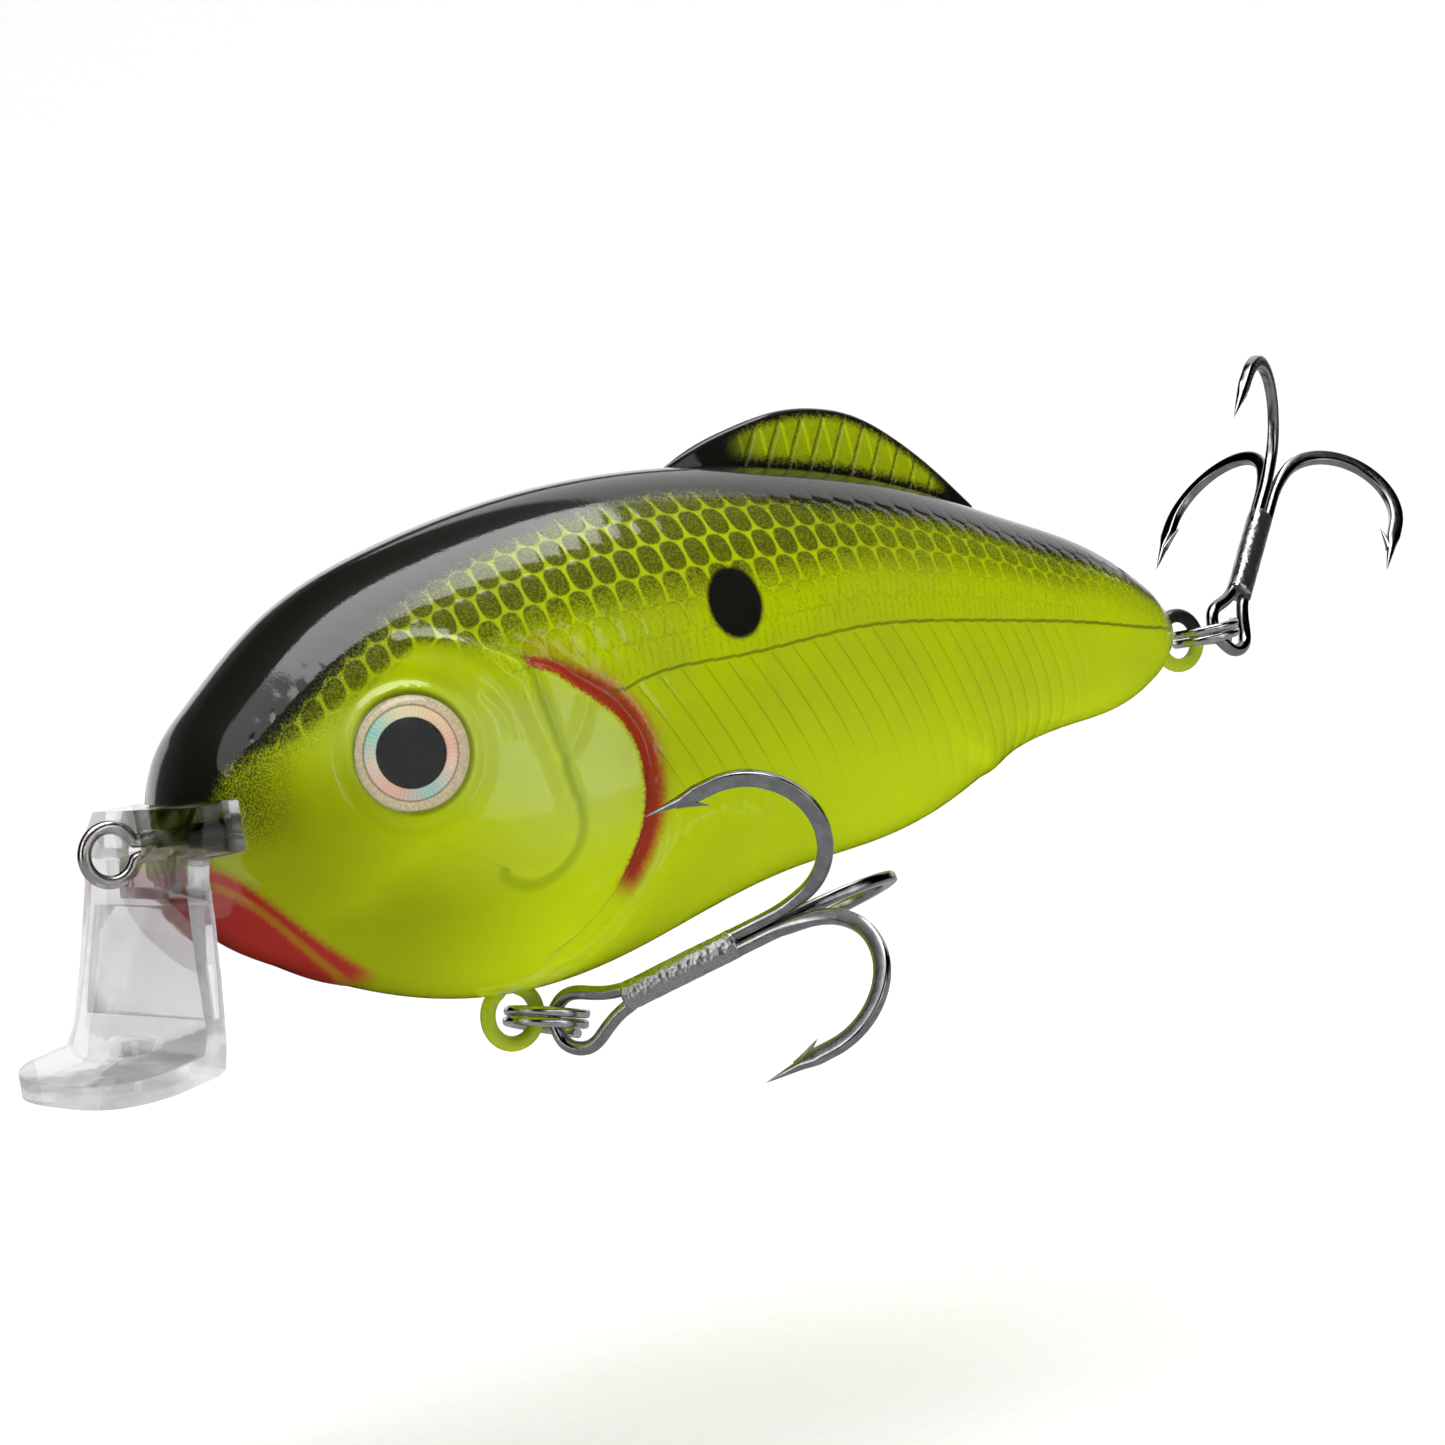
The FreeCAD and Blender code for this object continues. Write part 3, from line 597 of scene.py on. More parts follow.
def body_skin(name, side):
    """One painted half of the body with its half of the fin."""
    skin = capped_tube(name, outer_points(side))
    centre, axis = eye_axis(side)
    flare = SOCKET_RADIUS + 0.9
    socket = lathe("socket", [(0, -SOCKET_DEPTH), (SOCKET_RADIUS, -SOCKET_DEPTH), (SOCKET_RADIUS, 0.15),
                              (flare, 1.9), (flare, 8), (0, 8)], centre, axis)
    block = prism("block", rectangle(-2, 6.9, -1.0, 2.75), -14, 14, 1)
    slot = prism("slot", tongue_outline(0.05), -0.94, 2.74, 2)
    boss = prism("boss", rectangle(3.0, 6.05, -3.85, -0.5), -4.05, 4.05, 1)
    start, end = TRACK_X
    track = lathe("front_track", [(0, start), (TRACK_RADIUS, start), (TRACK_RADIUS, end), (0, end)],
                  np.array([0, 0, TRACK_Z]), np.array([1.0, 0, 0]))
    carve(skin, [socket, block, slot, boss, track, cavity(side)])
    fin = fin_half(name + "_fin", side)
    fin_count = len(fin.data.vertices)
    skin = join(name, [skin, fin])
    tidy_normals(skin.data)
    spots = points_of(skin)
    x, _, z = spots.T
    fields = body_fields(spots, side)
    fields["fin"] = np.zeros(len(spots))
    fields["fin"][-fin_count:] = 1
    fields["ray"] = fin_ray(x, z) + FIRST_RAY
    fields["rim"] = near_curve(FIN_EDGE, spots[:, [0, 2]])[0]
    fields["rise"] = z - back_at(x)
    for key in PAINT_FIELDS:
        put_field(skin, key, fields[key])
    return skin


# Eyes

def eye_pieces(word, side):
    """Printed iris disc and the clear dome over it."""
    centre, axis = eye_axis(side)
    low = -SOCKET_DEPTH + 0.03
    profile = [(0, low), (4.0, low), (4.0, low + 0.33)]
    profile += [(radius, low + 0.35) for radius in np.linspace(3.95, 0.1, 40)] + [(0, low + 0.35)]
    foil = lathe(word + "_eye_iris", profile, centre, axis, 160)
    across, up, _ = frame_of(axis)
    offset = points_of(foil) - centre
    put_field(foil, "disc_x", offset @ across)
    put_field(foil, "disc_y", offset @ up)
    start = low + 0.38
    outer = SOCKET_RADIUS - 0.03
    profile = [(0, start), (outer - 0.05, start), (outer, start + 0.05), (outer, start + 0.8)]
    for k in range(1, 26):
        angle = math.pi / 2 * k / 25
        profile.append((outer * math.cos(angle) ** 0.8 if k < 25 else 0, start + 0.8 + 1.2 * math.sin(angle)))
    dome = lathe(word + "_eye_lens", profile, centre, axis, 128)
    return foil, dome


# Clear lip

LIP_FLAT = math.radians(1.2)
LIP_ROUND = 0.35


def clear_lip():
    """The CAD lip with its flat faces merged and every edge rounded."""
    source = frame["nodes"]["diving_lip"]
    mesh = source.data.copy()
    tool = bmesh.new()
    tool.from_mesh(mesh)
    bmesh.ops.remove_doubles(tool, verts=tool.verts, dist=2e-6)
    bmesh.ops.dissolve_limit(tool, angle_limit=LIP_FLAT, verts=tool.verts, edges=tool.edges)
    tool.to_mesh(mesh)
    tool.free()
    lip = bpy.data.objects.new("clear_lip_moulding", mesh)
    bpy.context.scene.collection.objects.link(lip)
    soften = lip.modifiers.new("soften", "BEVEL")
    soften.width = LIP_ROUND * MM
    soften.segments = 3
    soften.limit_method = "ANGLE"
    soften.angle_limit = math.radians(25)
    bake_modifiers(lip)
    tidy_normals(lip.data, math.radians(50))
    return lip


# Rings and hooks

HOOK = {"wire": 1.1, "offset": 0.66, "length": 16.2, "flare": 4.0, "flare_angle": math.radians(14.5),
        "bend": 5.6, "bend_angle": math.radians(163.5), "point": 5.6}
BARB_LENGTH, BARB_LIFT = 2.1, 1.2
EYE_HALF, EYE_BACK, EYE_FRONT = 2.15, 2.5, 2.7
BRAZE_START, BRAZE_END, SINGLE_START = 3.6, 13.7, 4.4


def hook_frame(direction, eye_normal):
    """Axes of a hook: shank, eye normal and the third."""
    along = np.array(direction, float) / np.linalg.norm(direction)
    normal = np.array(eye_normal, float)
    normal = normal - along * (normal @ along)
    normal /= np.linalg.norm(normal)
    return np.stack([along, normal, np.cross(along, normal)])


def arm_line(start, angle):
    """Centreline of one arm in the hook's own axes; its stage is 0 on the shank, 1 at the bend's end."""
    radial = np.array([0, math.cos(angle), math.sin(angle)])
    run = list(np.linspace(start, HOOK["length"], 14))
    reach = [HOOK["offset"]] * 14
    stage = [0.0] * 14
    heading = 0.0
    bend = HOOK["bend"] * HOOK["bend_angle"]
    for steps, turn, length, span in ((14, HOOK["flare_angle"], HOOK["flare"], 0.2),
                                      (56, HOOK["bend_angle"], bend, 0.8), (40, 0.0, HOOK["point"], 1.0)):
        for _ in range(steps):
            heading += turn / steps
            run.append(run[-1] + math.cos(heading) * length / steps)
            reach.append(reach[-1] + math.sin(heading) * length / steps)
            stage.append(stage[-1] + span / steps)
    line = np.array(run)[:, None] * [1, 0, 0] + np.array(reach)[:, None] * radial
    return line, np.array(stage), radial, heading


def hook_arm(name, start, angle):
    """Round shank, forged bend with flat cheeks, needle point and a lifted barb."""
    line, stage, radial, heading = arm_line(start, angle)
    side_way = np.cross([1, 0, 0], radial)
    radius = HOOK["wire"] / 2
    forged = smooth(stage, 0.05, 0.4) * (1 - smooth(stage, 1.2, 1.5))
    taper = np.where(stage > 1.22, np.clip((2 - stage) / 0.78, 0.012, 1) ** 0.85, 1)
    in_plane = radius * (1 + 0.12 * forged) * taper
    across = radius * (1 - 0.2 * forged) * taper
    tube = sweep(name, line, across, in_plane, 2 + 2.6 * forged, side_way, 28)
    forward = np.array([math.cos(heading), 0, 0]) + radial * math.sin(heading)
    base = line[-40] + forward * HOOK["point"] * 0.5 - radial * radius * 0.25
    steps = np.linspace(0, 1, 12)
    barb_line = base - forward * BARB_LENGTH * steps[:, None] - radial * (BARB_LIFT * steps ** 1.2)[:, None]
    barb = sweep(name + "_barb", barb_line, 0.3 * (1 - steps) ** 0.7 + 0.02,
                 0.34 * (1 - steps) ** 0.8 + 0.02, 2.4, side_way, 14)
    return [tube, barb]


def eye_ring(name):
    """Rounded triangular eye closed by the twin shank."""
    neck = HOOK["offset"] * 0.95
    half = [(EYE_FRONT + 1.2, neck), (EYE_FRONT, neck + 0.25), (EYE_FRONT - 1.6, EYE_HALF * 0.72),
            (EYE_FRONT - 3.2, EYE_HALF), (-EYE_BACK + 0.9, EYE_HALF * 0.86),
            (-EYE_BACK + 0.1, EYE_HALF * 0.42)]
    mirrored = [(a, -w) for a, w in reversed(half)]
    curve = path_curve(half + [(-EYE_BACK, 0)] + mirrored, 110)
    line = np.stack([curve[:, 0], np.zeros(len(curve)), curve[:, 1]], axis=1)
    radius = HOOK["wire"] / 2
    return sweep(name, line, radius, radius, 2.0, [0, 1, 0], 28)


def braze_fillet(name, start, end):
    """Solder that fills the grooves between the three shanks, with an uneven skin."""
    rings, sides = 90, 60
    run = np.linspace(start, end, rings)
    angle = 2 * math.pi * np.arange(sides) / sides
    random = np.random.default_rng(11)
    rough = random.normal(0, 1, (rings, sides))
    for _ in range(3):
        rough = (rough + np.roll(rough, 1, 1) + np.roll(rough, -1, 1)) / 3
        rough[1:-1] = (rough[:-2] + rough[1:-1] + rough[2:]) / 3
    share = np.clip(np.minimum(np.arange(rings), np.arange(rings)[::-1]) / 4, 0, 1)
    swell = np.sqrt(share * (2 - share))[:, None]
    radius = (1.13 + 0.08 * np.cos(3 * angle))[None, :] * (0.8 + 0.2 * swell) + 0.05 * rough * swell
    spots = np.stack([np.broadcast_to(run[:, None], radius.shape), radius * np.cos(angle),
                      radius * np.sin(angle)], axis=2)
    return capped_tube(name, spots, math.radians(60))


def treble(word, link, shank, eye, slack):
    """Double hook with eye and braze, and the single hook brazed between its shanks."""
    axes = hook_frame(shank, eye)
    parts = [eye_ring(word + "_double_hook")]
    for angle in (math.radians(120), math.radians(240)):
        parts += hook_arm("arm", EYE_FRONT + 0.9, angle)
    solid_count = sum(len(p.data.vertices) for p in parts)
    parts.append(braze_fillet("braze", BRAZE_START, BRAZE_END))
    double = join(word + "_double_hook", parts)
    braze = np.zeros(len(double.data.vertices))
    braze[solid_count:] = 1
    put_field(double, "braze", braze)
    single = join(word + "_single_hook", hook_arm(word + "_single_hook", SINGLE_START, 0.0))
    put_field(single, "braze", np.zeros(len(single.data.vertices)))
    for obj in (double, single):
        move_points(obj, link + axes[0] * slack + points_of(obj) @ axes)
    return double, single


def coil_ring(name, centre, lean, radius):
    """Split ring: two close turns of flat-sided spring wire with cut ends."""
    turns, pitch, wire = 1.94, 0.8, 0.38
    share = np.linspace(0, 1, 240)
    angle = 2 * math.pi * turns * share
    lift = pitch * turns * (share - 0.5)
    line = np.stack([radius * np.cos(angle), radius * np.sin(angle), lift], axis=1)
    radial = np.stack([np.cos(angle), np.sin(angle), np.zeros(240)], axis=1)
    ring = sweep(name, line, wire * 0.97, wire * 0.97, 2.5, radial, 22)
    turn = np.array(Matrix.Rotation(math.radians(lean), 3, "Y"))
    move_points(ring, points_of(ring) @ turn.T + centre)
    return ring


def wire_loop(name, centre, along, radius, wire, leg):
    """Hanger bent from one wire: open ring with two legs that run side by side into the body."""
    along = np.array(along, float)
    across = np.cross(along, [0, 1, 0])
    spread = wire / 2 + 0.03
    gap = math.asin(min(0.99, spread / radius)) + 0.06
    angle = np.linspace(gap, 2 * math.pi - gap, 120)
    loop = centre + radius * (np.cos(angle)[:, None] * along + np.sin(angle)[:, None] * across)
    runs = []
    for end, sign in ((loop[0], 1), (loop[-1], -1)):
        foot = centre + across * spread * sign
        near = foot + along * (radius + 1.1)
        far = foot + along * (radius + leg)
        runs.append(np.concatenate([np.linspace(end, near, 10)[1:], np.linspace(near, far, 6)[1:]]))
    line = np.concatenate([runs[0][::-1], loop, runs[1]])
    for _ in range(4):
        line[1:-1] = (line[:-2] + 2 * line[1:-1] + line[2:]) / 4
    return sweep(name, line, wire / 2, wire / 2, 2.0, [0, 1, 0], 24)


# Node materials

class Term:
    """Output of a node that can be added, multiplied and stepped like a number."""

    def __init__(self, paint, socket):
        self.paint = paint
        self.socket = socket

    def __add__(self, other):
        return self.paint.math("ADD", self, other)

    def __sub__(self, other):
        return self.paint.math("SUBTRACT", self, other)

    def __rsub__(self, other):
        return self.paint.math("SUBTRACT", other, self)

    def __mul__(self, other):
        return self.paint.math("MULTIPLY", self, other)

    def __truediv__(self, other):
        return self.paint.math("DIVIDE", self, other)

    def __abs__(self):
        return self.paint.math("ABSOLUTE", self)

    def fract(self):
        return self.paint.math("FRACT", self)

    def rise(self, low, high):
        """Smooth step from 0 at low to 1 at high (low may be above high)."""
        node = self.paint.node("MapRange", Value=self)
        node.interpolation_type = "SMOOTHSTEP"
        falling = low > high
        ends = (high, low, 1, 0) if falling else (low, high, 0, 1)
        for key, value in zip(("From Min", "From Max", "To Min", "To Max"), ends):
            node.inputs[key].default_value = value
        return Term(self.paint, node.outputs[0])


class Paint:
    """Writes a material's node tree as formulas."""

    def __init__(self, name):
        self.material = bpy.data.materials.new(name)
        self.material.use_nodes = True
        self.tree = self.material.node_tree
        self.tree.nodes.clear()
        self.output = self.node("OutputMaterial")
        self.fields = {}
        scale = self.node("VectorMath")
        scale.operation = "SCALE"
        self.tree.links.new(self.node("TexCoord").outputs["Object"], scale.inputs[0])
        scale.inputs["Scale"].default_value = 1 / MM
        self.place = scale.outputs[0]

    def node(self, kind, **values):
        """New node; keyword names are socket names with underscores."""
        node = self.tree.nodes.new("ShaderNode" + kind)
        for key, value in values.items():
            self.put(node.inputs[key.replace("_", " ")], value)
        return node

    def put(self, socket, value):
        """Feed a socket with a link or a plain value."""
        if isinstance(value, Term):
            value = value.socket
        if isinstance(value, bpy.types.NodeSocket):
            self.tree.links.new(value, socket)
        elif isinstance(value, tuple) and len(value) == 3 and socket.type == "RGBA":
            socket.default_value = (*value, 1)
        else:
            socket.default_value = value

    def __getitem__(self, name):
        """Field stored on the mesh, in millimetres where it is a distance."""
        if name not in self.fields:
            node = self.node("Attribute")
            node.attribute_name = name
            self.fields[name] = Term(self, node.outputs["Fac"])
        return self.fields[name]

    def math(self, kind, *values):
        node = self.node("Math")
        node.operation = kind
        for socket, value in zip(node.inputs, values):
            self.put(socket, value)
        return Term(self, node.outputs[0])

    def most(self, a, b):
        return self.math("MAXIMUM", a, b)

    def split(self):
        """The place as x, y and z."""
        return [Term(self, socket) for socket in self.node("SeparateXYZ", Vector=self.place).outputs]

    def noise(self, scale, detail, rough, stretch=(1, 1, 1)):
        vector = self.place
        if stretch != (1, 1, 1):
            node = self.node("VectorMath")
            node.operation = "MULTIPLY"
            self.put(node.inputs[0], vector)
            node.inputs[1].default_value = stretch
            vector = node.outputs[0]
        node = self.node("TexNoise", Vector=vector, Scale=scale, Detail=detail, Roughness=rough)
        return Term(self, node.outputs["Fac"])

    def mix(self, share, a, b):
        node = self.node("Mix")
        node.data_type = "RGBA"
        for socket, value in ((0, share), (6, a), (7, b)):
            self.put(node.inputs[socket], value)
        return node.outputs[2]

    def layers(self, colour, *coats):
        """Colour under coats of (share, colour), lowest first."""
        for share, tone in coats:
            colour = self.mix(share, colour, tone)
        return colour

    def ramp(self, value, stops):
        node = self.node("ValToRGB", Fac=value)
        ramp = node.color_ramp
        while len(ramp.elements) < len(stops):
            ramp.elements.new(0.5)
        for element, (spot, colour) in zip(ramp.elements, stops):
            element.position = spot
            element.color = (*colour, 1)
        return node.outputs[0]

    def bump(self, height, distance, strength):
        """Bump whose distance is in millimetres."""
        return self.node("Bump", Strength=strength, Distance=distance * MM, Height=height).outputs[0]

    def shader(self, **values):
        """Principled surface, linked to the output."""
        node = self.node("BsdfPrincipled", **values)
        self.tree.links.new(node.outputs[0], self.output.inputs[0])
        return self.material


CHARTREUSE = (0.51, 0.645, 0.0015)
CHARTREUSE_MOTTLE = (0.46, 0.57, 0.010)
BRIGHT = (0.60, 0.75, 0.0015)
PEARL = (0.72, 0.74, 0.60)
# Painted shade colour for the groove beside the cheek ridge.
RIDGE_GROOVE_SHADE = (0.16, 0.26, 0.004)
# Painted shade colour for the lower head.
PAINTED_HEAD_SHADE = (0.24, 0.265, 0.001)
# Painted highlight colour for the cheek ridge.
RIDGE_HIGHLIGHT = (0.62, 0.72, 0.03)
INK = (0.010, 0.010, 0.008)
OLIVE_INK = (0.088, 0.094, 0.007)
THIN_INK = (0.06, 0.065, 0.004)
NOSE_INK = (0.05, 0.055, 0.004)
LINE_GREEN = (0.12, 0.15, 0.004)
GROOVE_GREEN = (0.14, 0.19, 0.004)
# Painted shade colour for the wall and rim round the eye's socket.
SOCKET_SHADE = (0.13, 0.15, 0.01)
GILL_RED = (0.36, 0.003, 0.012)
GILL_RED_THIN = (0.46, 0.014, 0.022)
GILL_HALO = (0.42, 0.12, 0.02)
THROAT_RED = (0.37, 0.008, 0.018)


def net_cell(p):
    """Distance from the centre of the nearest scale, 1 at its rim, and the height within its row."""
    index = p.math("FLOOR", p["row"])
    height = p["row"] - index - 0.5
    reaches = []
    for k in (index, index + p.math("SIGN", height)):
        dx = (p["column"] + p.math("FLOORED_MODULO", k, 2.0) * 0.5).fract() - 0.5
        dy = p["row"] - k - 0.5
        reaches.append(p.math("POWER", abs(dx) * (1 / SCALE_HALF[0]), SCALE_POWER)
                       + p.math("POWER", abs(dy) * (1 / SCALE_HALF[1]), SCALE_POWER))
    return p.math("MINIMUM", *reaches), height


def net_ink(p, x, cell, height):
    """Olive ink sprayed through the net: dense in the upper rows, then thin, then strokes only."""
    row = p["row"]
    above_line = p["lateral"].rise(0.1, -0.7)
    hole = (cell + (p.fine - 0.5) * 0.9).rise(1.12, 0.72)
    outline = abs(cell - 0.95).rise(0.35, 0.05) * (p.grain.rise(0.35, 0.65) * 0.4)
    speck = (p.fine + (p.grain - 0.5) * 0.5).rise(0.42, 0.6)
    dense = row.rise(7.6, 5.6) * (speck * 0.22 + 0.7)
    thin = row.rise(8.1, 6.2) * 0.42 * speck
    ink = hole * (dense + thin) + outline * (row.rise(9.3, 7.5) * row.rise(5.8, 7.2))
    ink = ink * (p["flank"] * above_line) * (1.0 - x.rise(54.0, 72.0) * 0.35)
    hatch = (p["column"] * 3.0 + height * 0.6).fract()
    hatch = abs(hatch - 0.5).rise(0.2, 0.04) * p.grain.rise(0.4, 0.6)
    strokes = hatch * (row.rise(5.4, 6.4) * p["flank"]) * (above_line * 0.3)
    return p.most(ink, strokes) * x.rise(97.0, 84.0)


def black_cover(p, x):
    """Share of solid black: the back down to a ragged edge, the fin's rim and base, painted shade in the
    grooves at the fin's ray steps, the spot.
    """
    ragged = p["black"] + (p.fine - 0.5) * 2.6 + (p.grain - 0.5) * 2.0
    solid = ragged.rise(-0.9, 0.9)
    core = ((p["rim"] + (p.grain - 0.5) * 1.3).rise(0.35, 1.25)
            * (p["rise"] + (p.grain - 0.5) * 1.8).rise(0.2, 1.3))
    core = core * (x.rise(57.0, 61.0) * x.rise(79.0, 76.5))
    # Painted shade: the fin's lighter core is darkened in the grooves at the ray steps.
    phase = p["ray"].fract()
    ray_groove_shade = p.most(phase.rise(0.12, 0.03), phase.rise(0.88, 0.98))
    light = core * (1.0 - ray_groove_shade * 0.45) * p.fine.rise(0.2, 0.38)
    solid = solid * (1.0 - p["fin"] * light)
    solid = p.most(solid, p["fin"] * (1.0 - light))
    return p.most(solid, (p["spot"] + (p.fine - 0.5) * 0.22).rise(1.1, 0.92))


def ground_tone(p, x, z):
    """Chartreuse, brighter below and towards the tail, with painted shade over the lower head and in the
    groove beside the cheek ridge, and a painted highlight along the ridge.
    """
    lateral = p["lateral"]
    ridge = p["ridge"]
    pearl = abs(p["gill"] + 5.0).rise(8.5, 1.0) * lateral.rise(-3.5, 1.0) * lateral.rise(14.0, 6.5)
    # Painted shade: the lower head round the mouth and the nose region are darkened as if facing down, away
    # from the light.
    jaw_shade = x.rise(33.0, 16.0) * (z + p.broad * 3.0).rise(1.0, -7.0)
    jaw_shade = p.most(jaw_shade, x.rise(24.0, 9.0) * z.rise(7.0, 0.0))
    return p.layers(
        p.mix(p.broad.rise(0.35, 0.7), CHARTREUSE, CHARTREUSE_MOTTLE),
        (lateral.rise(2.0, 12.0), BRIGHT),
        (pearl * 0.12, PEARL),
        # Painted shade in the groove just behind the cheek ridge.
        (abs(ridge - 0.85).rise(0.75, 0.1) * 0.4, RIDGE_GROOVE_SHADE),
        (jaw_shade * 0.8, PAINTED_HEAD_SHADE),
        (x.rise(66.0, 92.0) * 0.5, BRIGHT),
        # Painted highlight along the crest of the cheek ridge.
        (abs(ridge).rise(0.55, 0.2) * 0.3, RIDGE_HIGHLIGHT),
    )


def red_marks(p, x, colour):
    """Gill slash with its halo, and the throat."""
    across = p["gill"] + (p.grain - 0.5) * 0.7
    along = p["gill_along"].rise(0.235, 0.26) * p["gill_along"].rise(0.83, 0.77)
    taper = p["gill_along"].rise(0.25, 0.42) * 0.58 + 0.42
    slash = across.rise(-0.25, 0.15) * (across / taper).rise(2.7, 1.3) * along
    red = p.mix(across.rise(2.0, 0.8), GILL_RED_THIN, GILL_RED)
    halo = across.rise(3.6, 1.6) * across.rise(-0.2, 0.3) * along
    mouth = p["mouth"] + (p.grain - 0.5) * 0.5
    jaw = p["jaw"] + (p.grain - 0.5) * 0.4
    throat = mouth.rise(0.35, -0.35) * (x + p.grain * 1.5).rise(19.0, 16.0)
    throat = throat * (1.0 - abs(jaw).rise(0.35, 0.05) * 0.35)
    return p.layers(colour, (slash, red), (halo * 0.3, GILL_HALO), (throat * 0.95, THROAT_RED))


def fine_lines(p, x, colour):
    """Lateral line, slanted grooves below it, thin ink under the black edge and painted shade round the eye's
    socket.
    """
    lateral = p["lateral"]
    stepped = lateral + (p["column"].fract() - 0.5) * 0.08
    line = abs(stepped).rise(0.2, 0.05) * p["behind"]
    slant = (p["column"] - lateral * GROOVE_SLANT).fract()
    etched = abs(slant - 0.5).rise(0.07, 0.01) * p["behind"]
    etched = etched * (lateral.rise(0.1, 0.4) * lateral.rise(12.0, 5.0))
    etched = etched * (x.rise(90.0, 78.0) * p.fine.rise(0.3, 0.5))
    under = p["black"].rise(-4.4, -0.4) * p.fine.rise(0.43, 0.6) * ((1.0 - p["fin"]) * 0.65)
    # Painted shade on the wall and rim round the eye's socket.
    socket_rim_shade = p["eye"].rise(4.75, 4.35) * p["eye"].rise(3.9, 4.2)
    return p.layers(
        colour,
        (line * (p.fine.rise(0.25, 0.5) * 0.75), LINE_GREEN),
        (etched * 0.42, GROOVE_GREEN),
        (under, THIN_INK),
        (p["fin"] * 0.45, BRIGHT),
        (socket_rim_shade * 0.7, SOCKET_SHADE),
    )


def body_paint():
    """Glossy chartreuse with an airbrushed black back, net-masked scales and red gills."""
    p = Paint("body_lacquer")
    x, _, z = p.split()
    p.fine = p.noise(9.0, 3.0, 0.7)
    p.grain = p.noise(4.2, 2.0, 0.6)
    p.broad = p.noise(0.16, 3.0, 0.6)
    cell, height = net_cell(p)
    nose = (x + (p.fine - 0.5) * 3.0).rise(12.5, 7.5) * z.rise(-2.5, 1.5)
    colour = p.layers(red_marks(p, x, ground_tone(p, x, z)),
                      (nose * p.fine.rise(0.38, 0.58), NOSE_INK),
                      (net_ink(p, x, cell, height), OLIVE_INK))
    colour = p.mix(black_cover(p, x), fine_lines(p, x, colour), INK)
    dome = cell.rise(1.25, 0.55) * p["flank"] * (p["row"].rise(2.0, 4.0) * x.rise(17.0, 24.0))
    normal = p.bump(dome * (p["lateral"].rise(0.1, -0.6) * 0.6) + (p.fine - 0.5) * 0.5, 0.05, 0.6)
    coat = p.bump(p.grain * 0.6 + dome * 0.25, 0.02, 0.5)
    rough = (p.fine - 0.5) * 0.16 + 0.3
    return p.shader(Base_Color=colour, Roughness=rough, Normal=normal, Coat_Weight=1.0,
                    Coat_Roughness=0.025, Coat_IOR=1.52, Coat_Normal=coat, Specular_IOR_Level=0.06)


def clear_plastic():
    """Moulded polycarbonate with faint flow marks."""
    p = Paint("clear_polycarbonate")
    flow = p.noise(0.5, 2.0, 0.5, stretch=(1.0, 0.3, 0.5))
    fine = p.noise(6.0, 2.0, 0.5)
    return p.shader(Base_Color=p.mix(flow, (0.60, 0.60, 0.62), (0.70, 0.70, 0.72)),
                    Roughness=fine.rise(0.55, 0.8) * 0.04 + 0.03, IOR=1.45, Transmission_Weight=1.0,
                    Alpha=0.75, Normal=p.bump(flow + fine * 0.03, 0.14, 0.6))


def lens_plastic():
    """Clear domed lens over the printed iris."""
    p = Paint("clear_eye_dome")
    swirl = p.noise(0.8, 1.0, 0.4)
    return p.shader(Base_Color=p.mix(swirl, (0.97, 0.97, 0.97), (1.0, 1.0, 1.0)),
                    Roughness=swirl.rise(0.6, 0.9) * 0.01 + 0.004, IOR=1.49, Transmission_Weight=1.0,
                    Normal=p.bump(swirl, 0.02, 0.3))


RAINBOW = [(0.0, (0.80, 0.42, 0.30)), (0.13, (0.88, 0.60, 0.34)), (0.27, (0.80, 0.74, 0.42)),
           (0.40, (0.24, 0.66, 0.56)), (0.52, (0.82, 0.66, 0.50)), (0.66, (0.86, 0.44, 0.34)),
           (0.80, (0.30, 0.62, 0.56)), (0.92, (0.84, 0.62, 0.46)), (1.0, (0.80, 0.42, 0.30))]


def iris_print():
    """Black pupil, rainbow foil iris with spokes, fine dark lines and gold rim."""
    p = Paint("rainbow_foil_print")
    across, up = p["disc_x"], p["disc_y"]
    speck = p.noise(7.0, 2.0, 0.6)
    radius = p.math("SQRT", across * across + up * up) + (speck - 0.5) * 0.06
    angle = p.math("ARCTAN2", up, across)
    spokes = p.math("SINE", angle * 64.0 + speck * 3.0)
    wheel = angle * (1 / (2 * math.pi)) + 0.5 + (speck - 0.5) * 0.08
    foil = p.mix(spokes.rise(-1.0, 1.0) * 0.25, p.ramp(wheel.fract(), RAINBOW), (0.95, 0.86, 0.66))
    gold = p.mix(speck.rise(0.35, 0.65), (0.62, 0.50, 0.30), (0.78, 0.66, 0.42))
    line = radius.rise(3.14, 3.2) * radius.rise(3.32, 3.26) * 0.55
    line = p.most(line, radius.rise(3.78, 3.86))
    pupil = radius.rise(2.5, 2.42)
    colour = p.layers(foil, (radius.rise(3.22, 3.3), gold), (line, (0.06, 0.06, 0.02)),
                      (pupil, (0.004, 0.004, 0.005)))
    dark = p.most(pupil, line)
    return p.shader(Base_Color=colour, Metallic=(1.0 - dark) * 0.75, Roughness=dark * 0.2 + 0.28,
                    Normal=p.bump(spokes * 0.3 + speck, 0.03, 0.5), Specular_IOR_Level=0.02)


